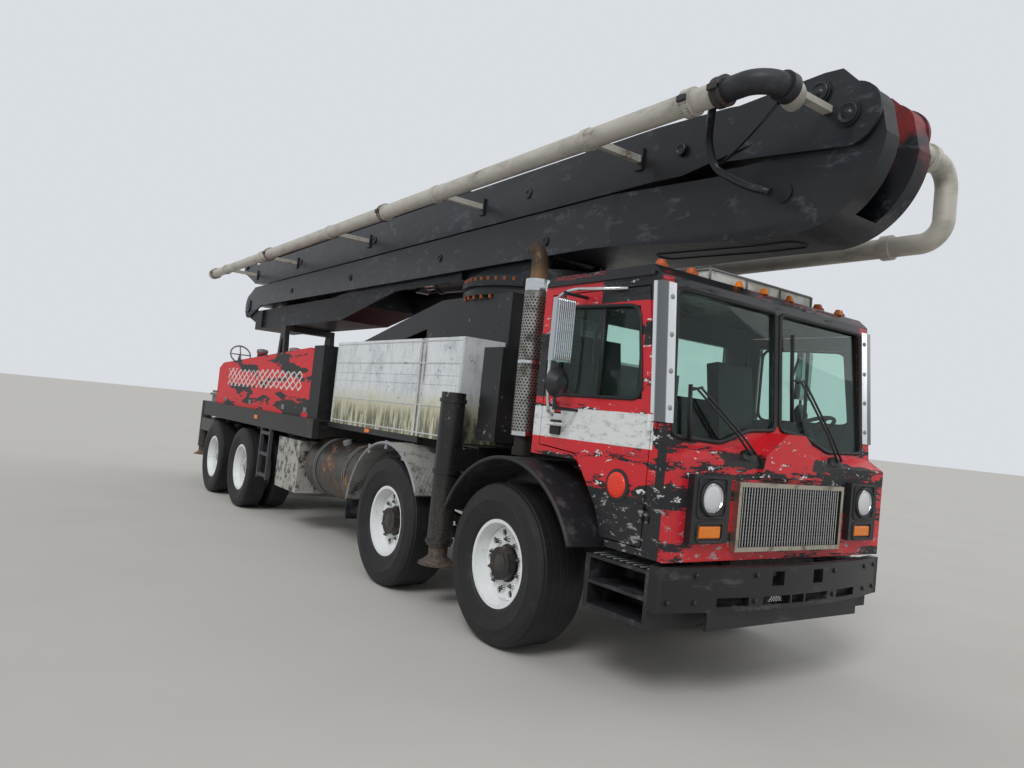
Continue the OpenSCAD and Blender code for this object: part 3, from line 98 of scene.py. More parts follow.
class Finish:
    """One material, built from nodes on Object coordinates. Its colours are given as six digits."""

    def __init__(self, name):
        self.material = bpy.data.materials.new(name)
        self.material.use_nodes = True
        self.material.node_tree.nodes.clear()
        self.place = self.node("ShaderNodeTexCoord", output="Object")
        self.x = self.node("ShaderNodeSeparateXYZ", {}, {0: self.place})
        self.y, self.z = self.x.output("Y"), self.x.output("Z")

    def node(self, kind, settings={}, inputs={}, output=0):
        made = self.material.node_tree.nodes.new(kind)
        for key, value in settings.items():
            setattr(made, key, value)
        for key, value in inputs.items():
            if isinstance(value, Reading):
                self.material.node_tree.links.new(value.socket, made.inputs[key])
            else:
                made.inputs[key].default_value = tone(value) if isinstance(value, str) else value
        return Reading(self, made.outputs[output]) if made.outputs else None

    def grain(self, scale, detail=4.0, stretch=(1, 1, 1), shift=0.0, roughness=0.6):
        at = self.node("ShaderNodeMapping", {}, {"Vector": self.place, "Location": (shift,) * 3, "Scale": stretch})
        inputs = {"Vector": at, "Scale": scale, "Detail": detail, "Roughness": roughness}
        return self.node("ShaderNodeTexNoise", {}, inputs)

    def rise(self, value, low, high):
        settings = {"interpolation_type": "SMOOTHSTEP"}
        return self.node("ShaderNodeMapRange", settings, {0: value, 1: low, 2: high})

    def band(self, value, low, high, soft=0.002):
        return self.rise(value, low - soft, low + soft) * self.rise(value, high + soft, high - soft)

    def mix(self, factor, first, second):
        return self.node("ShaderNodeMix", {"data_type": "RGBA"}, {0: factor, 6: first, 7: second}, 2)

    def coat(self, colour, roughness, metallic=0.0, bump=None, depth=0.002, **fixed):
        inputs = {"Base Color": colour, "Roughness": roughness, "Metallic": metallic, **fixed}
        if bump:
            relief = {"Height": bump, "Distance": depth, "Strength": 0.9}
            inputs["Normal"] = self.node("ShaderNodeBump", {}, relief)
        shader = self.node("ShaderNodeBsdfPrincipled", {}, inputs)
        self.node("ShaderNodeOutputMaterial", {}, {"Surface": shader})
        return self

    def on(self, *nodes):
        for name in nodes:
            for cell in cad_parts[name].material_slots:
                cell.material = self.material
        return self


ground = bpy.data.meshes.new("ground")
reach, drop = 150.0, 0.001
corners = [(x, y, -drop) for x, y in ((-reach, -reach), (reach, -reach), (reach, reach), (-reach, reach))]
ground.from_pydata(corners, [], [(0, 1, 2, 3)])
floor = bpy.data.objects.new("floor", ground)
scene.collection.objects.link(floor)
pale = Finish("floor_pale")
pale.coat(pale.mix(pale.grain(0.8, 3.0), "bab7b1", "c4c1bb"), 0.95)
ground.materials.append(pale.material)

sky = bpy.data.worlds.new("sky")
scene.world = sky
sky.use_nodes = True
cells, join = sky.node_tree.nodes, sky.node_tree.links.new
ray, seen = cells.new("ShaderNodeLightPath"), cells.new("ShaderNodeMath")
seen.operation, seen.use_clamp = "ADD", True
join(ray.outputs["Is Camera Ray"], seen.inputs[0])
join(ray.outputs["Is Transmission Ray"], seen.inputs[1])
plain, shown, either = cells["Background"], cells.new("ShaderNodeBackground"), cells.new("ShaderNodeMixShader")
plain.inputs["Color"].default_value, plain.inputs["Strength"].default_value = (0.93, 0.96, 1.0, 1.0), 0.62
shown.inputs["Color"].default_value, shown.inputs["Strength"].default_value = (0.70, 0.73, 0.77, 1.0), 1.0
for source, slot in zip((seen, plain, shown), either.inputs):
    join(source.outputs[0], slot)
join(either.outputs[0], cells["World Output"].inputs["Surface"])
for name, strength, spread, turn in (("key", 1.35, 22.0, (48, 4, -58)), ("fill", 0.35, 40.0, (62, 0, 70))):
    light = bpy.data.lights.new(name, "SUN")
    light.energy, light.angle = strength, radians(spread)
    held = bpy.data.objects.new(name, light)
    held.rotation_euler = [radians(a) for a in turn]
    scene.collection.objects.link(held)


# Ladder frame of two pressed steel channels with its axles, springs and propeller shaft, black
# paint gone dull under road dirt, with rust on the edges and joints.
def worn_steel(name, paint, under, bare, wear=0.5, scale=7.0, rough=0.5, dirt=0.35):
    """Paint over steel: faded in clouds, chipped to the primer and to bare metal, dusty near the ground."""
    made = Finish(name)
    cloud = made.grain(1.1)
    chips = made.grain(scale, 9.0, shift=3.0, roughness=0.68)
    specks = made.grain(scale * 5, 6.0, shift=7.0, roughness=0.7)
    limit = 0.70 - 0.2 * wear
    broken = chips + 0.35 * cloud - 0.175
    chip = made.rise(broken, limit, limit + 0.025)
    naked = made.rise(broken, limit + 0.055, limit + 0.08)
    speck = made.rise(specks + 0.3 * cloud - 0.15, limit + 0.02, limit + 0.05)
    faded = tuple(0.8 * c + 0.018 for c in tone(paint)[:3]) + (1.0,)
    colour = made.mix(made.rise(cloud, 0.35, 0.7), paint, faded)
    colour = made.mix(speck * 0.7, colour, under)
    colour = made.mix(chip, colour, under)
    colour = made.mix(naked, colour, bare)
    dust = dirt * made.rise(made.z, 1.5, 0.35) * made.rise(specks, 0.35, 0.6)
    colour = made.mix(dust, colour, "8b8377")
    shine = rough + 0.22 * chip + 0.2 * dust + 0.25 * (cloud - 0.5)
    return made.coat(colour, shine, 0.0, specks * 0.25 - chip * 0.6, 0.0015)


worn_steel("frame_black", "26262a", "4d3a30", "6a4c3a", 0.45, 9.0, 0.6, 0.55).on("frame_rails", "axles")
worn_steel("engine_iron", "3a3836", "5a4636", "6c5544", 0.5, 12.0, 0.7).on("engine_block")
worn_steel("knuckle_iron", "2f2d2c", "5f4634", "75543c", 0.6, 14.0, 0.7, 0.6).on(
    "knuckle_1_right", "knuckle_1_left", "knuckle_2_right", "knuckle_2_left")

# Cab of pressed steel in red over white primer, sprayed black along its lower edge and round the
# roof. The red flakes off in ragged level patches and the door carries a plain white band.
red, white, black = "cc1e28", "dcdedd", "1b1c1f"
screen_foot_y, screen_foot_z, screen_lean = -5.335, 1.50, 0.0885


def cab_paint():
    made = Finish("cab_red")
    ragged = made.grain(2.2, 9.0, (0.5, 0.5, 3.2), 1.7, 0.7)
    small = made.grain(16.0, 8.0, (0.7, 0.7, 1.6), 5.0, 0.72)
    cloud = made.grain(0.9, 3.0, shift=2.0)
    wander = 0.06 * (ragged - 0.5)
    side = made.rise(abs(made.x), 1.075, 1.082)
    behind = made.rise(made.y, -5.36, -5.33)
    # Red and its fading, flakes down to the black undercoat and specks down to the primer
    colour = made.mix(made.rise(cloud, 0.4, 0.65), red, "c21f2c")
    flaked = made.rise(ragged + 0.25 * small + 0.05 * made.rise(made.y, -5.2, -5.4), 0.685, 0.70)
    colour = made.mix(flaked, colour, black)
    primer = made.rise(small + 0.25 * ragged, 0.735, 0.75)
    colour = made.mix(primer, colour, white)
    # Black along the lower edge, up the front corners, and in patches round the door
    low = made.rise(made.z + 0.16 * (ragged - 0.5), 1.20, 1.175)
    front_low = made.rise(ragged + 0.24 * made.rise(made.z, 1.5, 0.9), 0.74, 0.76) * (1 - behind)
    colour = made.mix(low * behind, colour, black)
    colour = made.mix(front_low, colour, black)
    corner_post = side * made.band(made.y, -5.405, -5.335, 0.004) * made.rise(made.z + wander, 1.68, 1.66)
    colour = made.mix(corner_post * (1 - 0.6 * made.rise(ragged, 0.56, 0.58)), colour, black)
    colour = made.mix(low * made.rise(small, 0.575, 0.60) * 0.85, colour, "9a9a98")
    over_door = made.band(made.y + wander, -5.30, -4.75, 0.004) * made.rise(made.z + wander, 2.313, 2.318)
    aft = made.band(made.y + wander, -4.40, -4.08, 0.004) * made.band(made.z + wander, 1.72, 2.15, 0.004)
    fore = made.band(made.y + wander, -5.36, -5.15, 0.004) * made.band(made.z + wander, 2.05, 2.19, 0.004)
    sprayed = side * (over_door + aft + fore) * (1 - 0.8 * made.rise(small, 0.62, 0.64))
    colour = made.mix(sprayed, colour, black)
    # White band on the door, black roof, and the steel guards on the pillars
    stripe = side * made.band(made.z + 0.012 * (small - 0.5), 1.452, 1.652) * made.band(made.y, -5.29, -4.14)
    stained = made.mix(made.rise(small, 0.5, 0.62), white, "b9bcbd")
    colour = made.mix(stripe * (1 - 0.35 * made.rise(small, 0.66, 0.68)), colour, stained)
    top = made.rise(made.z + 0.03 * (ragged - 0.5), 2.455, 2.462)
    colour = made.mix(top * (1 - 0.35 * made.rise(ragged, 0.52, 0.54)), colour, black)
    depth = (made.y - (screen_foot_y - screen_foot_z * screen_lean)) - screen_lean * made.z
    proud = made.rise(depth, -0.003, -0.005) * (abs(made.x) > 0.99)
    wrapped = (abs(made.x) > 1.094) * made.rise(depth, 0.056, 0.054)
    guard = made.band(made.z, 1.671, 2.399, 0.001) * (1 - (1 - proud) * (1 - wrapped))
    colour = made.mix(guard, colour, made.mix(made.grain(3.0, 3.0, (1, 1, 9)), "c4c8cb", "edf0f2"))
    # Black header and centre post of the windscreen, worn paint round the wipers, the lining, and painted shade
    # behind the grille
    lined = made.rise(depth, 0.020, 0.022)
    header = (abs(made.x) < 0.985) * made.rise(made.z + 0.02 * (small - 0.5), 2.405, 2.41)
    centre_post = (abs(made.x) < 0.05) * made.rise(made.z, 1.665, 1.67)
    along = made.x + 0.16 * (ragged - 0.5)
    worn_off = made.band(along, -0.66, -0.31, 0.004) + made.band(along, 0.19, 0.58, 0.004)
    worn_off = worn_off * (made.y < -5.36) * made.band(made.z + 0.10 * (small - 0.5), 1.390, 1.480, 0.003)
    colour = made.mix((1 - lined) * header, colour, "232426")
    colour = made.mix((1 - lined) * centre_post, colour, "17181a")
    colour = made.mix(worn_off, colour, black)
    inside = lined * (made.y < -4.172) * (abs(made.x) < 1.064) * made.band(made.z, 1.36, 2.48)
    colour = made.mix(inside, colour, "4a4c4e")
    # Painted shade: the shell behind the grille opening is painted near black as the dark of the cavity.
    shade_behind_grille = (abs(made.x) < 0.53) * made.band(made.z, 0.92, 1.30) * (made.y < -5.44)
    colour = made.mix(shade_behind_grille, colour, "121314")
    shine = 0.34 + 0.3 * flaked + 0.2 * primer + 0.25 * (cloud - 0.5)
    shine = shine * (1 - guard) + 0.14 * guard
    return made.coat(colour, shine, guard * 0.95, small * 0.2 - flaked * 0.4 * (1 - guard), 0.0012)


cab_paint().on("cab_shell", "door_right", "door_left")
worn_steel("cab_trim_black", "1d1e20", "2b2c2e", "3a3b3d", 0.3, 20.0, 0.55, 0.1).on("cab_interior")

clear = Finish("glass_green")
clear.coat((0.66, 0.83, 0.77, 1.0), 0.01 + 0.02 * clear.rise(clear.grain(3.0, 3.0), 0.5, 0.75),
    **{"Transmission Weight": 1.0, "IOR": 1.25, "Specular IOR Level": 0.7})
clear.on("cab_glass", "door_glass_right", "door_glass_left")

# Rubber seals round the two windscreen halves and the side windows, with the two-part frame of
# each side window and the grab tube inside it.
def placed(name, mesh, body, slot):
    """A finished mesh as an object that rides on a CAD body."""
    made = bpy.data.objects.new(name, mesh)
    scene.collection.objects.link(made)
    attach(made, body)


def piece(name, shape, finish, body, slot):
    """A piece from a shape that is built up face by face."""
    mesh = bpy.data.meshes.new(name)
    shape.to_mesh(mesh)
    shape.free()
    mesh.materials.append(finish.material)
    placed(name, mesh, body, slot)


def tube(shape, points, radius, sides=10, closed=False):
    """A round bar swept along points."""
    points = [Vector(p) for p in points]
    rings, side, count = [], None, len(points)
    turns = [2 * pi * k / sides for k in range(sides)]
    for i, at in enumerate(points):
        ahead = points[(i + 1) % count] if closed or i < count - 1 else at
        back = points[i - 1] if closed or i else at
        way = (ahead - back).normalized()
        if side is None:
            side = way.orthogonal().normalized()
        side = (side - way * side.dot(way)).normalized()
        other = way.cross(side)
        rings.append([shape.verts.new(at + side * radius * cos(a) + other * radius * sin(a)) for a in turns])
    for i in range(count if closed else count - 1):
        a, b = rings[i], rings[(i + 1) % count]
        for k in range(sides):
            shape.faces.new((a[k], a[(k + 1) % sides], b[(k + 1) % sides], b[k])).smooth = True
    if not closed:
        shape.faces.new(rings[0][::-1])
        shape.faces.new(rings[-1])


def bend(a, b, c, radius, share, steps):
    """The points of a line that turns at b, on its way from a to c."""
    r = min(radius, share * (a - b).length, share * (c - b).length)
    start, end = b + (a - b).normalized() * r, b + (c - b).normalized() * r
    shares = [k / steps for k in range(steps + 1)]
    return [start * (1 - t) ** 2 + b * 2 * t * (1 - t) + end * t * t for t in shares]


def rounded(points, radius, steps=6):
    """The points of an open line with its corners turned at a radius."""
    points = [Vector(p) for p in points]
    turns = [p for a, b, c in zip(points, points[1:], points[2:]) for p in bend(a, b, c, radius, 0.49, steps)]
    return [points[0]] + turns + [points[-1]]


def hoop(points, radius, steps=5):
    """The points of a closed outline with its corners turned at a radius."""
    points = [Vector(p) for p in points]
    after = points[1:] + points[:1]
    return [p for i, b in enumerate(points) for p in bend(points[i - 1], b, after[i], radius, 0.45, steps)]


def screen(x, z, out=0.0):
    """A point on the outer plane of the windscreen, or proud of it."""
    return (x, screen_foot_y + (z - screen_foot_z) * screen_lean - out, z)


sides = ((-1, "right"), (1, "left"))
rubber = worn_steel("seal_rubber", "17181a", "242527", "2e2f31", 0.2, 30.0, 0.6, 0.2)
half_pane = [(0.985, 1.545), (0.96, 2.405), (0.024, 2.405), (0.024, 1.64), (0.30, 1.62), (0.56, 1.528)]
seals = bmesh.new()
for s, side in sides:
    tube(seals, hoop([screen(s * x, z) for x, z in half_pane], 0.05), 0.014, 8, True)
piece("windscreen_seals", seals, rubber, "chassis", "cab_trim")
side_pane = [(-5.175, 1.735), (-5.095, 2.29), (-4.35, 2.32), (-4.35, 1.735)]
grab_tube = [(-4.70, 1.80), (-4.66, 2.05), (-4.72, 2.25)]
for s, side in sides:
    surround = bmesh.new()
    tube(surround, hoop([(s * 1.090, y, z) for y, z in side_pane], 0.09), 0.012, 8, True)
    tube(surround, [(s * 1.080, -4.795, 1.735), (s * 1.080, -4.775, 2.305)], 0.014, 8)
    tube(surround, rounded([(s * 1.05, y, z) for y, z in grab_tube], 0.1), 0.010, 8)
    piece("window_frame_" + side, surround, rubber, "door_" + side, "cab_trim")


# Two big wipers, each with a pair of parallel arms on a pod below the windscreen and a long
# blade, all black.
def turned(shape, centre, axis, outline, sides=32):
    """A turned form: outline is (distance along the axis, radius) from its first face to its last."""
    axis = Vector(axis).normalized()
    side = axis.orthogonal().normalized()
    other = axis.cross(side)
    turns = [2 * pi * k / sides for k in range(sides)]
    rings = []
    for along, radius in outline:
        at = Vector(centre) + axis * along
        if radius < 1e-6:
            rings.append([shape.verts.new(at)])
        else:
            rings.append([shape.verts.new(at + (side * cos(a) + other * sin(a)) * radius) for a in turns])
    for a, b in zip(rings, rings[1:]):
        for k in range(sides):
            m = (k + 1) % sides
            if len(a) == 1:
                shape.faces.new((a[0], b[m], b[k])).smooth = True
            elif len(b) == 1:
                shape.faces.new((a[k], a[m], b[0])).smooth = True
            else:
                shape.faces.new((a[k], a[m], b[m], b[k])).smooth = len(outline) > 4
    for ring, turn in ((rings[0], -1), (rings[-1], 1)):
        if len(ring) > 1:
            shape.faces.new(ring[::turn])


wipers = bmesh.new()
pod = [(-0.02, 0.075), (0.014, 0.07), (0.026, 0.045), (0.034, 0.03), (0.036, 0)]
arm_gap = Vector((0.045, 0, 0.012))
for foot_x, tip, blade_x, low, high in (
        (-0.38, (-0.815, 1.83), -0.86, 1.52, 1.85), (0.55, (0.21, 1.98), 0.125, 1.71, 2.28)):
    base, end = Vector((foot_x, -5.425, 1.470)), Vector(screen(*tip, 0.032))
    turned(wipers, base + Vector((0.02, 0.02, -0.03)), (0, -0.9, 0.44), pod, 24)
    for shift in (0, 1):
        a = base + arm_gap * shift
        knee = a + (end - a) * 0.3 + Vector((0, -0.015, 0.01))
        tube(wipers, [a, knee, end + arm_gap * shift * 0.8], 0.0075, 8)
    tube(wipers, [end - arm_gap * 0.9, end + arm_gap], 0.008, 6)
    for radius, lift in ((0.009, 0.028), (0.006, 0.013)):
        middle = screen(blade_x - 0.004, 0.5 * (low + high), lift)
        tube(wipers, [screen(blade_x, low, lift), middle, screen(blade_x, high, lift)], radius, 6)
    tube(wipers, [end, screen(blade_x, tip[1], 0.03)], 0.007, 6)
piece("wipers", wipers, rubber, "chassis", "cab_trim")

# Polished guards folded round the windscreen pillars, with a dark band painted along the fold as
# the reflection of the curved steel, and four domed rivets to a side.
grey_steel = worn_steel("rivet_grey", "8f9294", "6a6b6c", "55493f", 0.3, 20.0, 0.4, 0.0)
polished = Finish("polished_steel")
polished.coat(polished.mix(polished.grain(9.0, 5.0, (1, 1, 6)), "bfc4c8", "eef1f3"),
    0.12 + 0.25 * polished.rise(polished.grain(14.0, 6.0), 0.5, 0.8), 1.0, polished.grain(40.0, 3.0), 0.0003)
studs, guards = bmesh.new(), bmesh.new()
fold = rounded([(0.985, 0.012), (1.1045, 0.0125), (1.1045, -0.055)], 0.009, 5)
for s, side in sides:
    rows = [[guards.verts.new((s * p.x, screen(0, z)[1] - p.y, z)) for p in fold] for z in (1.615, 2.0, 2.425)]
    for low, high in zip(rows, rows[1:]):
        for k in range(len(low) - 1):
            loop = (low[k], low[k + 1], high[k + 1], high[k])
            guards.faces.new(loop if s > 0 else loop[::-1]).smooth = True
    for z in (1.70, 1.91, 2.12, 2.34):
        dome = [(0, 0.017), (0.005, 0.015), (0.010, 0.009), (0.012, 0)]
        turned(studs, screen(s * 1.018, z, 0.011), (0, -1, 0.088), dome, 12)
piece("guard_rivets", studs, grey_steel, "chassis", "cab_trim")
guard_steel = Finish("guard_steel")
streak = guard_steel.grain(3.0, 6.0, (2.0, 2.0, 0.25))
depth = guard_steel.y - (screen_foot_y - screen_foot_z * screen_lean) - screen_lean * guard_steel.z
# A dark band painted on the outer half of the front face and the front of the fold: a painted reflection of the
# curved steel, not tarnish.
painted_reflection_band = guard_steel.rise(abs(guard_steel.x) + 0.02 * (streak - 0.5), 1.045, 1.058)
painted_reflection_band = painted_reflection_band * guard_steel.rise(depth, 0.034, 0.020)
guard_steel.coat(guard_steel.mix(painted_reflection_band * 0.85, "eef1f3", "4c5052"), 0.12 + 0.16 * streak, 0.9, streak, 0.0003)
piece("pillar_guards", guards, guard_steel, "chassis", "cab_trim")

# Grille of pressed bars in a bright frame, bumper of black steel worn to grey, and the dark
# plastic housings of the lamps.
grille = Finish("grille_bright")
dull = grille.rise(grille.grain(12.0, 6.0), 0.45, 0.7)
slats = (abs(grille.x) < 0.516) * grille.band(grille.z, 0.932, 1.287, 0.001)
grille.coat(grille.mix(slats, grille.mix(dull, "b9b2a4", "857d70"), "58544e"), 0.28 + 0.3 * dull, 0.9)
grille.on("grille")
bumper = Finish("bumper_worn")
scuff = bumper.grain(5.0, 9.0, (0.5, 0.5, 1.5), 0.0, 0.75)
grey = bumper.rise(scuff, 0.52, 0.64)
bumper.coat(bumper.mix(grey * 0.6, "151618", "565655"), 0.42 + 0.3 * grey, 0.0, scuff, 0.002).on("front_bumper")
lamp_x, lamp_y, lamp_z, roof_z = 0.785, -5.497, 1.215, 2.5
lamp = Finish("lamp_mix")
off_centre = (abs(lamp.x) - lamp_x) ** 2.0 + (lamp.z - lamp_z) ** 2.0
round_lens = (off_centre < 0.0081) * (lamp.z < 1.5)
amber = lamp.band(lamp.z, 0.987, 1.058, 0.001) * lamp.band(abs(lamp.x), 0.692, 0.878, 0.001)
hue = lamp.mix(round_lens, lamp.mix(lamp.grain(20.0), "18191b", "232427"), "f0f1ec")
hue = lamp.mix(amber, hue, "e8801c")
hue = lamp.mix((lamp.z > roof_z) * (abs(lamp.x) > 0.6), hue, "b4541c")
panel = lamp.mix(lamp.rise(lamp.grain(6.0, 6.0), 0.45, 0.6), "d4d6cf", "b1b1a4")
hue = lamp.mix((lamp.z > roof_z) * (abs(lamp.x) < 0.6), hue, panel)
lamp.coat(hue, 0.45 - 0.3 * round_lens - 0.25 * amber, round_lens * 0.25).on("lamps")


# Headlamps: a black bezel and a bright ring round a domed lens, and the ribbed cover of the amber
# indicator below. A round red marker and the lock sit low on each door.
def slab(shape, low, high, bevel=0.004):
    """A plate or bar with its edges broken."""
    made = [shape.verts.new([(low, high)[k >> axis & 1][axis] for axis in range(3)]) for k in range(8)]
    loops = ((0, 2, 3, 1), (4, 5, 7, 6), (0, 1, 5, 4), (2, 6, 7, 3), (0, 4, 6, 2), (1, 3, 7, 5))
    faces = [shape.faces.new([made[k] for k in loop]) for loop in loops]
    edges = list({e for f in faces for e in f.edges})
    bmesh.ops.bevel(shape, geom=edges, offset=bevel, segments=2, affect="EDGES", profile=0.5)


def ribbed_lens(name, first, second, shine, way, ribs):
    """Moulded plastic with fine ribs across one direction."""
    made = Finish(name)
    relief = abs((getattr(made, way) * ribs) % 2.0 - 1.0)
    hue = made.mix(made.grain(30.0), first, second)
    return made.coat(hue, shine + 0.1 * made.grain(12.0), 0.0, relief, 0.001)


lens_clear = Finish("lens_clear")
lens_clear.coat((0.95, 0.97, 0.98, 1.0), 0.05 + 0.1 * lens_clear.grain(9.0), 0.0,
    abs((lens_clear.x * 80.0) % 2.0 - 1.0), 0.001, **{"Transmission Weight": 0.35, "IOR": 1.3})
marker_red = ribbed_lens("marker_red", "de2a1c", "ea4426", 0.2, "z", 120.0)
lens_amber = ribbed_lens("lens_amber", "ee8a1e", "d86a12", 0.18, "x", 140.0)
bezel = [(-0.004, 0.106), (0.006, 0.105), (0.014, 0.098), (0.014, 0.092), (0.002, 0.084)]
bright_ring = [(-0.004, 0.088), (0.006, 0.086), (0.009, 0.081), (0.000, 0.075)]
dome = [(-0.004, 0.077), (0.003, 0.076), (0.010, 0.060), (0.015, 0.033), (0.017, 0)]
bulb = [(0, 0.02), (0.02, 0.018), (0.028, 0.01), (0.03, 0)]
marker_rim = [(0, 0.098), (0.008, 0.096), (0.012, 0.080)]
marker_lens = [(0, 0.078), (0.012, 0.078), (0.020, 0.070), (0.024, 0.05), (0.026, 0)]
rings, domes, covers, bezels = bmesh.new(), bmesh.new(), bmesh.new(), bmesh.new()
for s, side in sides:
    at, forward = Vector((s * lamp_x, lamp_y, lamp_z)), (0, -1, 0)
    turned(bezels, at, forward, bezel, 40)
    turned(rings, at, forward, bright_ring, 40)
    turned(domes, at, forward, dome, 40)
    turned(rings, at + Vector((0, 0.03, 0)), forward, bulb, 16)
    for low, high, wide in ((1.105, 1.328, 0.118), (0.968, 1.076, 0.108)):
        corners = ((-wide, low), (wide, low), (wide, high), (-wide, high))
        edge = [(s * lamp_x + x, lamp_y, z) for x, z in corners]
        tube(bezels, hoop(edge, 0.03), 0.007, 8, True)
    slab(covers, (s * lamp_x - 0.090, -5.4995, 0.990), (s * lamp_x + 0.090, -5.486, 1.055), 0.006)
    shape = bmesh.new()
    turned(shape, (s * 1.088, -5.038, 1.221), (s, 0, 0), marker_lens, 36)
    piece("door_marker_" + side, shape, marker_red, "door_" + side, "lamp_plastic")
    shape = bmesh.new()
    turned(shape, (s * 1.087, -5.038, 1.221), (s, 0, 0), marker_rim, 36)
    slab(shape, (s * 1.100 - 0.012, -4.468, 1.472), (s * 1.100 + 0.012, -4.372, 1.568), 0.006)
    piece("door_fittings_" + side, shape, rubber, "door_" + side, "cab_trim")
piece("lamp_bezels", bezels, rubber, "chassis", "lamp_plastic")
piece("lamp_rings", rings, polished, "chassis", "lamp_plastic")
piece("lamp_lenses", domes, lens_clear, "chassis", "lamp_plastic")
piece("indicator_lenses", covers, lens_amber, "chassis", "lamp_plastic")

# Light panel on the roof in a grey frame with struts, and the row of small amber markers along
# the edge above the windscreen.
grey_paint = worn_steel("grey_paint", "77797a", "55565a", "4a3b30", 0.3, 14.0, 0.5, 0.1)
rack = bmesh.new()
bar_half, bar_front, bar_back = 0.545, -5.125, -4.995
for z in (2.535, 2.612):
    rail = [(-bar_half, bar_front, z), (-bar_half, bar_back, z), (bar_half, bar_back, z),
        (bar_half, bar_front, z), (-0.54, bar_front, z)]
    tube(rack, rounded(rail, 0.02, 3), 0.008, 8)
for x in (-bar_half, -0.18, 0.18, bar_half):
    tube(rack, [(x, -5.124, 2.532), (x, -5.124, 2.614)], 0.008, 8)
piece("light_bar_frame", rack, grey_paint, "chassis", "lamp_plastic")
cap = [(0, 0.030), (0.012, 0.030), (0.014, 0.024), (0.036, 0.020), (0.042, 0.012), (0.043, 0)]
caps = bmesh.new()
for x in (-0.31, -0.05, 0.23, 0.82):
    turned(caps, (x, -5.165, 2.528), (0, 0, 1), cap, 20)
piece("roof_markers", caps, lens_amber, "chassis", "lamp_plastic")

# Mirror head of ribbed stainless sheet on the looped tube, with a small round mirror below it.
mirror = Finish("mirror_dark")
head = mirror.band(mirror.z, 1.925, 2.33, 0.001) * (abs(mirror.x) > 1.204)
mirror.coat(mirror.mix(head, mirror.mix(mirror.grain(9.0), "1c1d20", "303135"), "c3c8cc"), 0.42 - 0.2 * head,
    head * 0.9).on("mirror_right", "mirror_left")
rib = [(-4.641, 1.94), (-4.645, 1.96), (-4.645, 2.30), (-4.641, 2.32)]
way = [(1.092, -4.36, 1.60), (1.16, -4.40, 1.62), (1.20, -4.42, 1.80), (1.20, -4.42, 2.36),
    (1.20, -4.56, 2.405), (1.092, -4.98, 2.40)]
for s, side in sides:
    ribs = bmesh.new()
    for i in range(-4, 5):
        tube(ribs, rounded([(s * 1.28 + i * 0.0155, y, z) for y, z in rib], 0.01, 2), 0.0062, 8)
    piece("mirror_ribs_" + side, ribs, polished, "door_" + side, "mirror_steel")
    loop = bmesh.new()
    tube(loop, rounded([(s * x, y, z) for x, y, z in way], 0.09, 5), 0.011, 8)
    piece("mirror_loop_" + side, loop, polished, "door_" + side, "mirror_steel")

# Tow openings and vents of the bumper: expanded mesh behind the vents, and the bolt heads along
# the face.
def bumper_y(x):
    """The face of the bumper, an arc that stands out most at the middle."""
    half_width, bow, ends_y = 1.114, 0.13, -5.44
    radius = (half_width ** 2 + bow ** 2) / (2 * bow)
    return ends_y - bow + radius - sqrt(radius ** 2 - x ** 2)


vents = bmesh.new()
vent_foot, spacing, lean_run = 0.605, 0.022, 0.05
for left, right in ((-0.70, -0.45), (-0.33, -0.08), (0.08, 0.33), (0.45, 0.70), (-0.06, 0.06)):
    count = max(3, int((right - left) / spacing))
    for i in range(count + 1):
        x = left + (right - left) * i / count
        for run in (-lean_run, lean_run):
            end = min(max(x + run, left), right)
            top = (end, bumper_y(end) + 0.03, vent_foot + abs(end - x))
            tube(vents, [(x, bumper_y(x) + 0.03, vent_foot), top], 0.0022, 4)
piece("bumper_mesh", vents, bumper, "chassis", "bumper_paint")
heads = bmesh.new()
bolt_head = [(0, 0.017), (0.010, 0.016), (0.014, 0.008), (0.0145, 0)]
for x in (-1.04, -0.86, 0.86, 1.04, -0.40, 0.40):
    for z in (0.63, 0.78):
        turned(heads, (x, bumper_y(x) + 0.002, z), (0, -1, 0), bolt_head, 6)
piece("bumper_bolts", heads, bumper, "chassis", "bumper_paint")


# Mudguards: a black rubber arch over the first wheels, and checker plate with a light edge and a
# mud flap over the second. The step boxes below the doors have treads of flat bars.
def lozenges(made, a, b, scale):
    """The raised lozenges of checker plate, over the plane of two readings."""
    one = abs((a * scale + b * scale) % 1.0 - 0.5)
    other = abs((a * scale - b * scale) % 1.0 - 0.5)
    return made.rise(one + other, 0.62, 0.72)


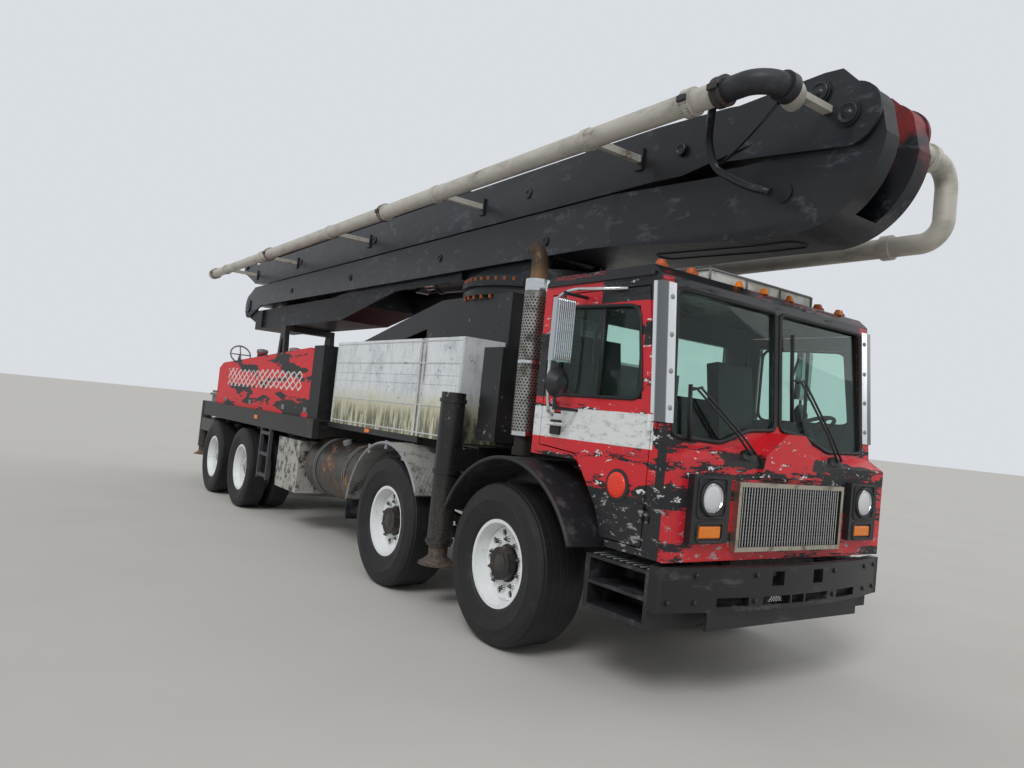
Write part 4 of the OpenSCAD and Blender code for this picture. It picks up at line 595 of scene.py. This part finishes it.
arch = Finish("mudguard")
stain = arch.grain(6.0, 8.0, roughness=0.7)
plate = arch.y > -2.98
sheet = plate * (1 - arch.rise(arch.y, -1.600, -1.595))
metal = arch.mix(arch.rise(stain, 0.46, 0.68), "aeada9", "4a4947")
gum = arch.mix(arch.rise(stain, 0.5, 0.66), "1c1d20", "47464a")
arch.coat(arch.mix(sheet, gum, metal), 0.55 - 0.1 * plate, sheet * 0.5,
    lozenges(arch, arch.x, arch.y, 26.0) * sheet + 0.4 * stain, 0.002).on("fenders")
beads, trims, treads = bmesh.new(), bmesh.new(), bmesh.new()
for s, side in sides:
    for edge, y, z, radius, turns, thick in (
            (beads, -4.11, 0.465, 0.812, range(26, 155, 4), 0.014),
            (trims, -2.29, 0.50, 0.718, range(10, 152, 4), 0.013)):
        arc = [(s * 1.249, y + radius * cos(radians(a)), z + radius * sin(radians(a))) for a in turns]
        tube(edge, arc, thick, 8)
    for y, low, high in ((-2.62, 1.10, 1.18), (-2.29, 1.165, 1.24), (-1.96, 1.10, 1.18)):
        slab(trims, (s * 1.245 - 0.006, y - 0.02, low), (s * 1.245 + 0.006, y + 0.02, high), 0.002)
    for z in (0.632, 0.794):
        for i in range(9):
            y = -5.365 + i * 0.055
            slab(treads, (s * 0.96 - 0.14, y, z), (s * 0.96 + 0.14, y + 0.02, z + 0.006), 0.002)
piece("mudguard_beads", beads, rubber, "chassis", "fender_rubber")
piece("mudguard_trims", trims, grey_steel, "chassis", "fender_rubber")
piece("step_treads", treads, grey_paint, "chassis", "fender_rubber")

# Upright exhaust behind the cab: a dull shield with plain bright bands, its perforation drawn as dark
# discs of painted shade, round a pipe whose bent outlet is baked brown and black.
stack_x, stack_y, shield_radius = -0.98, -3.91, 0.09
stack = Finish("stack_mix")
outside = ((stack.x - stack_x) ** 2.0 + (stack.y - stack_y) ** 2.0) > 0.0064
shield = outside * (stack.z < 2.57) * (stack.z > 1.42)
heat = stack.rise(stack.z + 0.2 * (stack.grain(4.0, 6.0) - 0.5), 2.55, 2.72)
baked = stack.mix(heat, "7a5c40", "3a2b20")
baked = stack.mix(stack.rise(stack.grain(18.0, 7.0), 0.55, 0.75) * 0.6, baked, "94714a")
baked = stack.mix(stack.rise(stack.z, 1.46, 1.44), baked, "2b2724")
dull = stack.mix(stack.rise(stack.grain(8.0, 7.0), 0.45, 0.7), "a3a29d", "5f5c56")
stack.coat(stack.mix(shield, baked, dull), 0.62 - 0.3 * shield, 0.25 + 0.65 * shield,
    stack.grain(60.0, 3.0), 0.0006).on("exhaust_stack")
# Painted shade for the holes of the shield: near-black discs on its face stand for the dark inside them.
painted_hole_shade = Finish("painted_hole_shade")
painted_hole_shade.coat(painted_hole_shade.mix(painted_hole_shade.grain(40.0), "0c0c0d", "1a1918"), 0.85)


def repeated(name, finish, body, slot, build, numbers):
    """A mesh made by a Geometry Nodes tree whose named numbers are its sizes, then kept as plain faces."""
    tree = bpy.data.node_groups.new(name, "GeometryNodeTree")
    tree.interface.new_socket("Geometry", in_out="OUTPUT", socket_type="NodeSocketGeometry")
    kinds = {int: "NodeSocketInt", float: "NodeSocketFloat", tuple: "NodeSocketVector"}
    sockets = {}
    for key, value in numbers.items():
        kind = kinds[type(value)]
        sockets[key] = tree.interface.new_socket(key, in_out="INPUT", socket_type=kind).identifier
    entry = tree.nodes.new("NodeGroupInput")

    def add(kind, settings={}, inputs={}):
        made = tree.nodes.new(kind)
        for key, value in settings.items():
            setattr(made, key, value)
        for key, value in inputs.items():
            if isinstance(value, str):
                value = entry.outputs[value]
            if isinstance(value, bpy.types.NodeSocket):
                tree.links.new(value, made.inputs[key])
            else:
                made.inputs[key].default_value = value
        return made.outputs[0]

    whole = add("GeometryNodeRealizeInstances", {}, {0: build(add)})
    last = add("GeometryNodeSetMaterial", {}, {0: whole, 2: finish.material})
    tree.links.new(last, tree.nodes.new("NodeGroupOutput").inputs[0])
    holder = bpy.data.objects.new(name + "_tree", bpy.data.meshes.new(name + "_tree"))
    scene.collection.objects.link(holder)
    maker = holder.modifiers.new("repeat", "NODES")
    maker.node_group = tree
    for key, value in numbers.items():
        maker[sockets[key]] = value
    mesh = bpy.data.meshes.new_from_object(holder.evaluated_get(bpy.context.evaluated_depsgraph_get()))
    bpy.data.objects.remove(holder)
    mesh.name = name
    placed(name, mesh, body, slot)


def calc(add, operation, first, second=0.0):
    return add("ShaderNodeMath", {"operation": operation}, {0: first, 1: second})


def counted(add, count):
    """The place of each point along its row, and the number of its row."""
    index = add("GeometryNodeInputIndex")
    return calc(add, "FLOORED_MODULO", index, count), calc(add, "FLOOR", calc(add, "DIVIDE", index, count))


def ring_points(add):
    """Points in rings round an upright axis, each ring twisted against the one below, and their turns."""
    along, ring = counted(add, "In a ring")
    turn = calc(add, "MULTIPLY", along, calc(add, "DIVIDE", 2 * pi, "In a ring"))
    turn = calc(add, "ADD", turn, calc(add, "MULTIPLY", ring, "Twist"))
    arm = add("ShaderNodeCombineXYZ", {}, {0: "Radius", 2: calc(add, "MULTIPLY", ring, "Ring step")})
    arm = add("ShaderNodeVectorRotate", {"rotation_type": "Z_AXIS"}, {"Vector": arm, "Angle": turn})
    where = add("ShaderNodeVectorMath", {"operation": "ADD"}, {0: arm, 1: "Foot"})
    total = calc(add, "MULTIPLY", "In a ring", "Rings")
    return add("GeometryNodePoints", {}, {"Count": total, "Position": where}), turn


def shield_holes(add):
    points, turn = ring_points(add)
    disc = add("GeometryNodeMeshCylinder", {}, {"Vertices": 6, "Radius": "Hole", "Depth": 0.0016})
    lying = add("GeometryNodeTransform", {}, {0: disc, "Rotation": (0.0, pi / 2, 0.0)})
    facing = add("ShaderNodeCombineXYZ", {}, {2: turn})
    return add("GeometryNodeInstanceOnPoints", {}, {"Points": points, "Instance": lying, "Rotation": facing})


# The shield's holes as thin dark discs on its face: painted shade, not openings.
repeated("stack_perforation_shade", painted_hole_shade, "chassis", "stack_steel", shield_holes, {
    "Foot": (stack_x, stack_y, 1.47), "Radius": shield_radius, "In a ring": 22, "Rings": 46,
    "Ring step": 0.0212, "Twist": pi / 22, "Hole": 0.0072})
bands = bmesh.new()
inner, outer = shield_radius - 0.0005, shield_radius + 0.0025
for z, height in ((2.475, 0.085), (1.43, 0.03), (1.95, 0.02)):
    band = [(0, inner), (0, outer), (height, outer), (height, inner)]
    turned(bands, (stack_x, stack_y, z), (0, 0, 1), band, 40)
piece("stack_bands", bands, polished, "chassis", "stack_steel")


# Fine upright wires of the grille in polished steel, evenly spaced across its opening and in
# front of its pressed bars.
def grid_points(add):
    """Points in rows, by the step along a row and the step from row to row."""
    along, row = counted(add, "In a row")
    across = add("ShaderNodeVectorMath", {"operation": "SCALE"}, {0: "Step", "Scale": along})
    up = add("ShaderNodeVectorMath", {"operation": "SCALE"}, {0: "Row step", "Scale": row})
    where = add("ShaderNodeVectorMath", {"operation": "ADD"}, {0: across, 1: up})
    where = add("ShaderNodeVectorMath", {"operation": "ADD"}, {0: where, 1: "Start"})
    total = calc(add, "MULTIPLY", "In a row", "Rows")
    return add("GeometryNodePoints", {}, {"Count": total, "Position": where})


def fine_wires(add):
    wire = add("GeometryNodeMeshCylinder", {}, {"Vertices": 6, "Radius": "Wire", "Depth": "Height"})
    return add("GeometryNodeInstanceOnPoints", {}, {"Points": grid_points(add), "Instance": wire})


repeated("grille_wires", polished, "chassis", "grille_metal", fine_wires, {
    "Start": (-0.5173, -5.4805, 1.1095), "Step": (0.02587, 0.0, 0.0), "Row step": (0.0, 0.0, 0.1),
    "In a row": 41, "Rows": 1, "Wire": 0.0024, "Height": 0.36})

# Round air and fuel tanks below the deck in brown and black, held by steel straps, the box beside
# them in light checker plate with its dents and stains, and the grey ladder to the deck.
worn_steel("tank_brown", "201c1b", "5a3d29", "84674a", 0.80, 3.2, 0.42, 0.15).on("tanks")
box = Finish("tool_box_plate")
swirl = box.grain(7.0, 8.0, roughness=0.75)
ladder = box.y > 0.98
stained = box.mix(box.rise(swirl, 0.46, 0.6), "b9b7b0", "3d3b39")
box.coat(box.mix(ladder, stained, "505154"), 0.45 + 0.25 * swirl, 0.45,
    lozenges(box, box.y, box.z, 30.0) * (1 - ladder), 0.0015).on("tool_boxes")
tank_x, tank_z, strap_radius = 0.79, 0.80, 0.327
filler_cap = [(0, 0.05), (0.045, 0.05), (0.05, 0.044), (0.055, 0)]
turns = [2 * pi * k / 40 for k in range(40)]
straps = bmesh.new()
for s, side in sides:
    for y in (-1.14, -0.36):
        for off in (-0.024, 0.024):
            ring = [(s * tank_x + strap_radius * cos(a), y + off, tank_z + strap_radius * sin(a)) for a in turns]
            tube(straps, ring, 0.005, 6, True)
    turned(straps, (s * 0.92, -0.75, 1.085), (s * 0.35, 0, 1), filler_cap, 24)
piece("tank_straps", straps, grey_paint, "chassis", "tank_paint")

# Tower of welded plate under the slewing ring, in black paint chipped to bright spots. A ring of
# rusty studs clamps the bearing.
tower = worn_steel("tower_black", "111214", "6c6d70", "a9aaab", 0.38, 13.0, 0.42, 0.15).on("pedestal")
rust = worn_steel("rust_orange", "8a4a24", "a9622e", "5a3320", 0.6, 20.0, 0.8, 0.1)
slew_y = -2.45


def ring_studs(add):
    points, turn = ring_points(add)
    stud = add("GeometryNodeMeshCylinder", {}, {"Vertices": 6, "Radius": "Stud", "Depth": "Length"})
    return add("GeometryNodeInstanceOnPoints", {}, {"Points": points, "Instance": stud})


for name, body, slot, z, radius, count, stud, length in (
        ("ring_studs", "turret", "boom_paint", 2.762, 0.606, 44, 0.017, 0.04),
        ("ring_nuts", "chassis", "tower_paint", 2.606, 0.605, 36, 0.018, 0.036)):
    repeated(name, rust, body, slot, ring_studs, {
        "Foot": (0.0, slew_y, z), "Radius": radius, "In a ring": count, "Rings": 1, "Ring step": 0.0,
        "Twist": 0.0, "Stud": stud, "Length": length})

# Side boxes of white aluminium sheet: level seams, a riveted double seam, and stains that run
# yellow and green to black over the lower third.
sheet = Finish("box_white")
blot = sheet.grain(2.6, 8.0, (1, 1.2, 1), 4.0, 0.7)
streak = sheet.grain(7.0, 7.0, (1, 3.0, 0.35), 9.0, 0.7)
small = sheet.grain(30.0, 5.0, shift=2.0)
height = sheet.z + 0.35 * (blot - 0.5) + 0.22 * (streak - 0.5)
hue = sheet.mix(sheet.rise(blot, 0.45, 0.7), "dfe3e6", "bcc2c6")
hue = sheet.mix(sheet.rise(streak, 0.52, 0.66) * 0.5, hue, "a3a39c")
hue = sheet.mix(0.7 * sheet.rise(height, 1.74, 1.50), hue, "c3bb8a")
hue = sheet.mix(0.8 * sheet.rise(height, 1.60, 1.42) * sheet.rise(streak, 0.42, 0.54), hue, "3c3d33")
hue = sheet.mix(sheet.rise(small + 0.4 * blot, 0.86, 0.9), hue, "4a3b2f")
grime = sheet.band(sheet.y, -2.43, -2.30, 0.01) * sheet.rise(streak, 0.40, 0.50)
hue = sheet.mix(grime * 0.7, hue, "4d4a45")
sheet.coat(hue, 0.38 + 0.3 * blot, 0.15, blot * 2.0 + 0.3 * small, 0.004).on("side_boxes")
alloy = worn_steel("alloy_strip", "c9cbca", "8b8c8b", "5c5348", 0.5, 12.0, 0.4, 0.1)
strips = bmesh.new()
for s, side in sides:
    for z in (1.335, 1.58, 1.95, 2.145):
        slab(strips, (s * 1.016 - 0.0035, -3.045, z - 0.006), (s * 1.016 + 0.0035, -0.435, z + 0.006), 0.002)
    for y in (-3.03, -2.39, -2.32, -0.45):
        slab(strips, (s * 1.017 - 0.004, y - 0.016, 1.305), (s * 1.017 + 0.004, y + 0.016, 2.165), 0.003)
piece("box_strips", strips, alloy, "chassis", "box_sheet")


def flat_rivets(add):
    head = add("GeometryNodeMeshUVSphere", {}, {"Segments": 8, "Rings": 4, "Radius": "Head"})
    return add("GeometryNodeInstanceOnPoints", {}, {"Points": grid_points(add), "Instance": head})


for s, side in sides:
    repeated("box_rivets_" + side, alloy, "chassis", "box_sheet", flat_rivets, {
        "Start": (s * 1.021, -2.39, 1.33), "Step": (0.0, 0.0, 0.055), "Row step": (0.0, 0.07, 0.0),
        "In a row": 16, "Rows": 2, "Head": 0.006})

# Covers behind the side boxes in camouflage patches of red and black with a hatched strip, a
# black panel ahead of them, and pots with lids on top.
cover = Finish("cover_patches")
patch = cover.grain(2.6, 6.0, (1, 0.5, 2.4), 11.0, 0.55)
torn = cover.grain(14.0, 7.0, shift=2.0, roughness=0.7)
hue = cover.mix(cover.rise(patch + 0.05 * torn, 0.565, 0.575), "d0222b", "1d1b1d")
rising = cover.band((cover.y * 5.0 + cover.z * 9.0) % 1.0, 0.30, 0.62, 0.04)
falling = cover.band((cover.y * 5.0 - cover.z * 9.0) % 1.0, 0.36, 0.60, 0.04)
level = cover.band(cover.z + 0.10 * (patch - 0.5), 1.60, 1.84, 0.008)
hatch = cover.rise((rising + 0.6 * falling) * level * cover.rise(torn, 0.70, 0.45), 0.2, 0.6)
hatch = hatch * cover.band(cover.y, 0.30, 3.4, 0.02) * (abs(cover.x) > 1.11)
hue = cover.mix(hatch * 0.9, hue, "d9d2cf")
hue = cover.mix(cover.rise(torn, 0.62, 0.65), hue, "6d5a52")
fore_panel = cover.mix(cover.rise(torn, 0.5, 0.66), "101113", "27282a")
hue = cover.mix(cover.y < 0.0112, hue, fore_panel)
cover.coat(hue, 0.4 + 0.3 * torn, 0.0, torn, 0.0012).on("rear_covers")
pot_lid = [(0, 0.074), (0.02, 0.080), (0.05, 0.080), (0.062, 0.06), (0.07, 0.02), (0.07, 0)]
lids = bmesh.new()
for s, side in sides:
    for y in (0.45, 1.55, 2.95):
        turned(lids, (s * 0.80, y, 2.10), (0, 0, 1), pot_lid, 24)
    for y in (0.10, 0.85, 2.2, 3.4):
        slab(lids, (s * 1.1205 - 0.006, y - 0.05, 1.36), (s * 1.1205 + 0.006, y + 0.05, 1.42), 0.004)
piece("cover_lids", lids, grey_paint, "chassis", "cover_paint")

# Deck of dark plate, the hopper with its grate and agitator, and the pump cylinders, all worn to
# rust. Orange markers stand along both edges of the truck.
worn_steel("deck_dark", "17181a", "4f3d31", "7a6a5c", 0.45, 8.0, 0.5, 0.25).on("deck")
worn_steel("hopper_grey", "6b6b69", "6a4c38", "8d8a83", 0.7, 6.0, 0.6, 0.3).on(
    "hopper", "hopper_grate", "agitator")
worn_steel("cylinder_grey", "4b4d50", "6a5342", "8a8985", 0.5, 8.0, 0.5, 0.3).on("delivery_cylinders")
flags = bmesh.new()
for s, side in sides:
    slab(flags, (s * 1.012 - 0.01, -1.42, 1.255), (s * 1.012 + 0.01, -1.32, 1.292), 0.006)
    slab(flags, (s * 1.182 - 0.008, 1.60, 1.19), (s * 1.182 + 0.008, 1.72, 1.24), 0.006)
piece("side_markers", flags, lens_amber, "chassis", "lamp_plastic")

# Outrigger legs in chipped black paint with collars round the front ones, their inner tubes and
# the rusty round feet below.
leg = worn_steel("leg_black", "101113", "7d7d7c", "a9a59e", 0.42, 12.0, 0.38, 0.2).on(
    "outrigger_front_right", "outrigger_front_left", "outrigger_rear_right", "outrigger_rear_left")
worn_steel("jack_rusty", "3c302b", "6a452f", "8d6a48", 0.8, 8.0, 0.6, 0.25).on(
    "jack_front_right", "jack_front_left", "jack_rear_right", "jack_rear_left")
for s, side in sides:
    collars = bmesh.new()
    for z, radius in ((0.52, 0.102), (1.06, 0.1015), (1.62, 0.101)):
        inner, outer = radius - 0.004, radius + 0.008
        collar = [(0, inner), (0, outer), (0.03, outer), (0.03, inner)]
        turned(collars, (s * 1.13, -3.15, z), (0, 0, 1), collar, 32)
    piece("leg_collars_" + side, collars, tower, "outrigger_front_" + side, "cylinder_paint")

# Wheels: tyres with grooved treads on white disc rims, dusty grey at the edge, and dark hubs with
# ten nuts each. The grooves of the tread are painted darker as the shade in them. The front two pairs are bigger
# and their hubs stand out.
nut = [(0, 0.019), (0.020, 0.018), (0.024, 0.011), (0.036, 0.010), (0.038, 0)]
hub_cap = [(0, 0.075), (0.018, 0.070), (0.03, 0.05), (0.034, 0)]
front_kind, rear_kind = (0.55, 0.130, 1.117, 1.151, leg), (0.52, 0.10, 1.037, 1.111, grey_steel)
for number, y, kind in (
        (1, -4.05, front_kind), (2, -2.339, front_kind), (3, 2.055, rear_kind), (4, 3.453, rear_kind)):
    radius, hub_radius, nuts_x, cap_x, paint = kind
    tyre = Finish(f"wheel_{number}")
    r = ((tyre.y - y) ** 2.0 + (tyre.z - radius) ** 2.0) ** 0.5
    gum = r > 0.300
    dust = tyre.grain(9.0, 7.0, roughness=0.7)
    wall = tyre.mix(tyre.rise(dust, 0.5, 0.8), "161618", "2f2d2a")
    rim = tyre.mix(tyre.rise(dust + 0.4 * (r - 0.25), 0.56, 0.76), "e4e6e6", "b2b0ab")
    hub = tyre.mix(tyre.rise(dust, 0.5, 0.66), "1c1b1b", "45382f")
    hue = tyre.mix(r < hub_radius, tyre.mix(gum, rim, wall), hub)
    tread = tyre.rise(r, radius - 0.012, radius - 0.006)
    # The tread grooves are a bump, and are painted near black as painted shade in the recesses.
    groove_and_painted_shade = tyre.band((abs(tyre.x) * 17.5) % 1.0, 0.02, 0.16, 0.02) * tread
    wall_mark = tyre.band(r, 0.345, 0.352) + tyre.band(r, 0.43, 0.436)
    tyre.coat(tyre.mix(groove_and_painted_shade, hue, "0e0e0f"), 0.62 - 0.2 * (1 - gum), 0.0,
        wall_mark * 0.8 - groove_and_painted_shade * 2.5 + 0.3 * dust, 0.003).on(f"wheel_{number}_right", f"wheel_{number}_left")
    for s, side in sides:
        nuts = bmesh.new()
        for k in range(10):
            a = 2 * pi * k / 10
            turned(nuts, (s * nuts_x, y + 0.167 * sin(a), radius + 0.167 * cos(a)), (s, 0, 0), nut, 6)
        turned(nuts, (s * cap_x, y, radius), (s, 0, 0), hub_cap, 28)
        piece(f"hub_nuts_{number}_{side}", nuts, paint, f"wheel_{number}_{side}", "tyre")

# Boom of four folded arms in dark blue-black satin paint, scuffed grey along the plates, with
# bright rods in its cylinders.
boom = Finish("boom_satin")
sweep = boom.grain(1.4, 6.0, (1, 0.35, 1.4), 0.0, 0.62)
scuff = boom.grain(9.0, 9.0, (1, 0.45, 1), 6.0, 0.72)
spot = boom.grain(46.0, 4.0, shift=1.0)
hue = boom.mix(boom.rise(sweep, 0.36, 0.66), "0b0e13", "181d26")
hue = boom.mix(0.28 * boom.rise(scuff + 0.3 * sweep, 0.70, 0.80), hue, "6c7077")
hue = boom.mix(0.8 * boom.rise(spot + 0.25 * sweep, 0.86, 0.90), hue, "6a4c3a")
spray = boom.rise(boom.grain(3.0, 5.0, shift=8.0), 0.44, 0.62) * boom.rise(boom.x, -0.15, 0.15)
spray = spray * boom.rise(boom.y, -5.4, -5.8)
hue = boom.mix(0.6 * spray * boom.rise(boom.z, 3.1, 3.4), hue, "a3251f")
end_face = boom.rise(boom.y, -5.84, -5.9) + boom.rise(boom.z, 2.95, 2.90)
boom.coat(hue, 0.36 + 0.3 * (scuff - 0.4) + 0.3 * end_face, 0.0, scuff * 0.6 + sweep, 0.002,
    **{"Coat Weight": 0.12, "Coat Roughness": 0.25})
boom.on("turret", "arm_1", "arm_2", "arm_3", "arm_4")
worn_steel("lift_barrel_black", "24272c", "5e6064", "808184", 0.4, 9.0, 0.4, 0.0).on("lift_barrel")
bright = Finish("rod_bright")
bright.coat(bright.mix(bright.grain(8.0, 5.0), "c7c9cb", "9fa2a6"),
    0.16 + 0.2 * bright.rise(bright.grain(15.0, 6.0), 0.5, 0.75), 0.95)
bright.on("lift_rod", "rod_2", "rod_3", "rod_4")

# Delivery pipe of steel tube in worn cream paint, its elbows and clamps dark, with rust at the
# flanges.
pipe = Finish("pipe_cream")
wear = pipe.grain(6.0, 8.0, (1, 0.4, 1), 0.0, 0.7)
hue = pipe.mix(pipe.rise(wear, 0.45, 0.75), "bcb8ae", "8f8c84")
hue = pipe.mix(0.8 * pipe.rise(wear, 0.64, 0.70), hue, "6b4a34")
elbow = pipe.rise(pipe.y, -5.40, -5.404) * (pipe.x < -0.665)
hue = pipe.mix(elbow, hue, pipe.mix(pipe.rise(wear, 0.5, 0.7), "26282c", "3d3f43"))
pipe.coat(hue, 0.40 + 0.25 * wear, 0.1, wear, 0.0004).on("pipe_1", "pipe_2", "pipe_3")
clamp_dark = worn_steel("clamp_dark", "2a2a2c", "6a3a2c", "7a7874", 0.7, 12.0, 0.5, 0.5)
pipe_x, pipe_z, half = -0.88, 3.56, 0.034
clamps = bmesh.new()
for y, radius in ((-5.385, 0.092), (-5.15, 0.088), (-0.95, 0.092), (2.85, 0.092), (5.85, 0.092)):
    waist, foot = radius - 0.006, radius - 0.012
    ring = [(-half, foot), (-half, radius), (-half * 0.4, radius), (-half * 0.3, waist),
        (half * 0.3, waist), (half * 0.4, radius), (half, radius), (half, foot)]
    turned(clamps, (pipe_x, y, pipe_z), (0, 1, 0), ring, 32)
    for x in (pipe_x - radius, pipe_x + radius):
        slab(clamps, (x - 0.018, y - half, pipe_z - 0.02), (x + 0.018, y + half, pipe_z + 0.02), 0.006)
piece("pipe_clamps", clamps, clamp_dark, "arm_3", "pipe_steel")

# Small steelwork on the boom: a bent tube and a thin strut below the first clamp, the L-shaped
# frames along its top, ringed bosses on the ears, and the oblong seam under the nose.
struts = bmesh.new()
way = [(-0.82, -5.276, 3.60), (-0.68, -5.133, 3.56), (-0.54, -5.003, 3.455), (-0.458, -5.002, 3.301),
    (-0.458, -5.276, 3.133), (-0.458, -5.452, 3.061)]
tube(struts, rounded(way, 0.12), 0.026, 8)
tube(struts, rounded([(-0.66, -5.61, 3.50), (-0.50, -5.25, 3.40), (-0.458, -5.04, 3.31)], 0.1), 0.011, 6)
piece("nose_tube", struts, boom, "arm_3", "boom_paint")
bracket = (((0, 3.745), (0, 3.97)), ((-0.013, 3.957), (-0.26, 3.957)), ((-0.24, 3.957), (-0.24, 3.88)))
brackets = bmesh.new()
for y in (4.6, 3.2, 1.6, -0.2):
    for bar in bracket:
        tube(brackets, [(-0.345, y + off, z) for off, z in bar], 0.014, 4)
piece("top_frames", brackets, boom, "arm_3", "boom_paint")
ear_boss = [(0, 0.062), (0.010, 0.062), (0.014, 0.052), (0.006, 0.046), (0.006, 0.024), (0.014, 0.020), (0.014, 0)]
plate_boss = [(0, 0.045), (0.012, 0.043), (0.014, 0.030), (0.008, 0.028), (0.008, 0)]
belly_boss = [(0, 0.042), (0.012, 0.040), (0.014, 0.026), (0.006, 0.024), (0.006, 0)]
rims, seam = bmesh.new(), bmesh.new()
run = ((-5.40, 2.849), (-5.05, 2.859), (-4.15, 2.906))
edge = [(-0.09, y, z) for y, z in run] + [(0.09, y, z) for y, z in run[::-1]]
tube(seam, hoop(edge, 0.085), 0.006, 6, True)
for s, side in sides:
    for y, z in ((-5.82, 3.50), (-5.62, 3.68)):
        turned(rims, (s * 0.300, y, z), (s, 0, 0), ear_boss, 28)
    for y, z in ((-4.6, 3.55), (-2.8, 3.56), (0.4, 3.56), (3.0, 3.56)):
        turned(rims, (s * 0.360, y, z), (s, 0, 0), plate_boss, 24)
    for y, z in ((-3.2, 3.06), (-1.4, 3.12), (0.9, 3.12), (3.1, 3.12)):
        turned(seam, (s * 0.4195, y, z), (s, 0, 0), belly_boss, 24)
piece("ear_rims", rims, boom, "arm_3", "boom_paint")
piece("belly_seam", seam, boom, "arm_2", "boom_paint")

# Hand wheel of a valve on a stem at the rear end of the covers, one to a side.
valve = bmesh.new()
turns = [2 * pi * k / 32 for k in range(32)]
for s, side in sides:
    hub = Vector((s * 0.90, 3.70, 2.08))
    tube(valve, [(s * 0.90, 3.76, 1.86), (s * 0.90, 3.76, 2.02), hub], 0.018, 8)
    rim = [hub + 0.15 * Vector((cos(a), 0.45 * sin(a), 0.89 * sin(a))) for a in turns]
    tube(valve, rim, 0.012, 8, True)
    for end in rim[::8]:
        tube(valve, [hub, end], 0.009, 6)
piece("valve_wheel", valve, grey_paint, "chassis", "cylinder_paint")
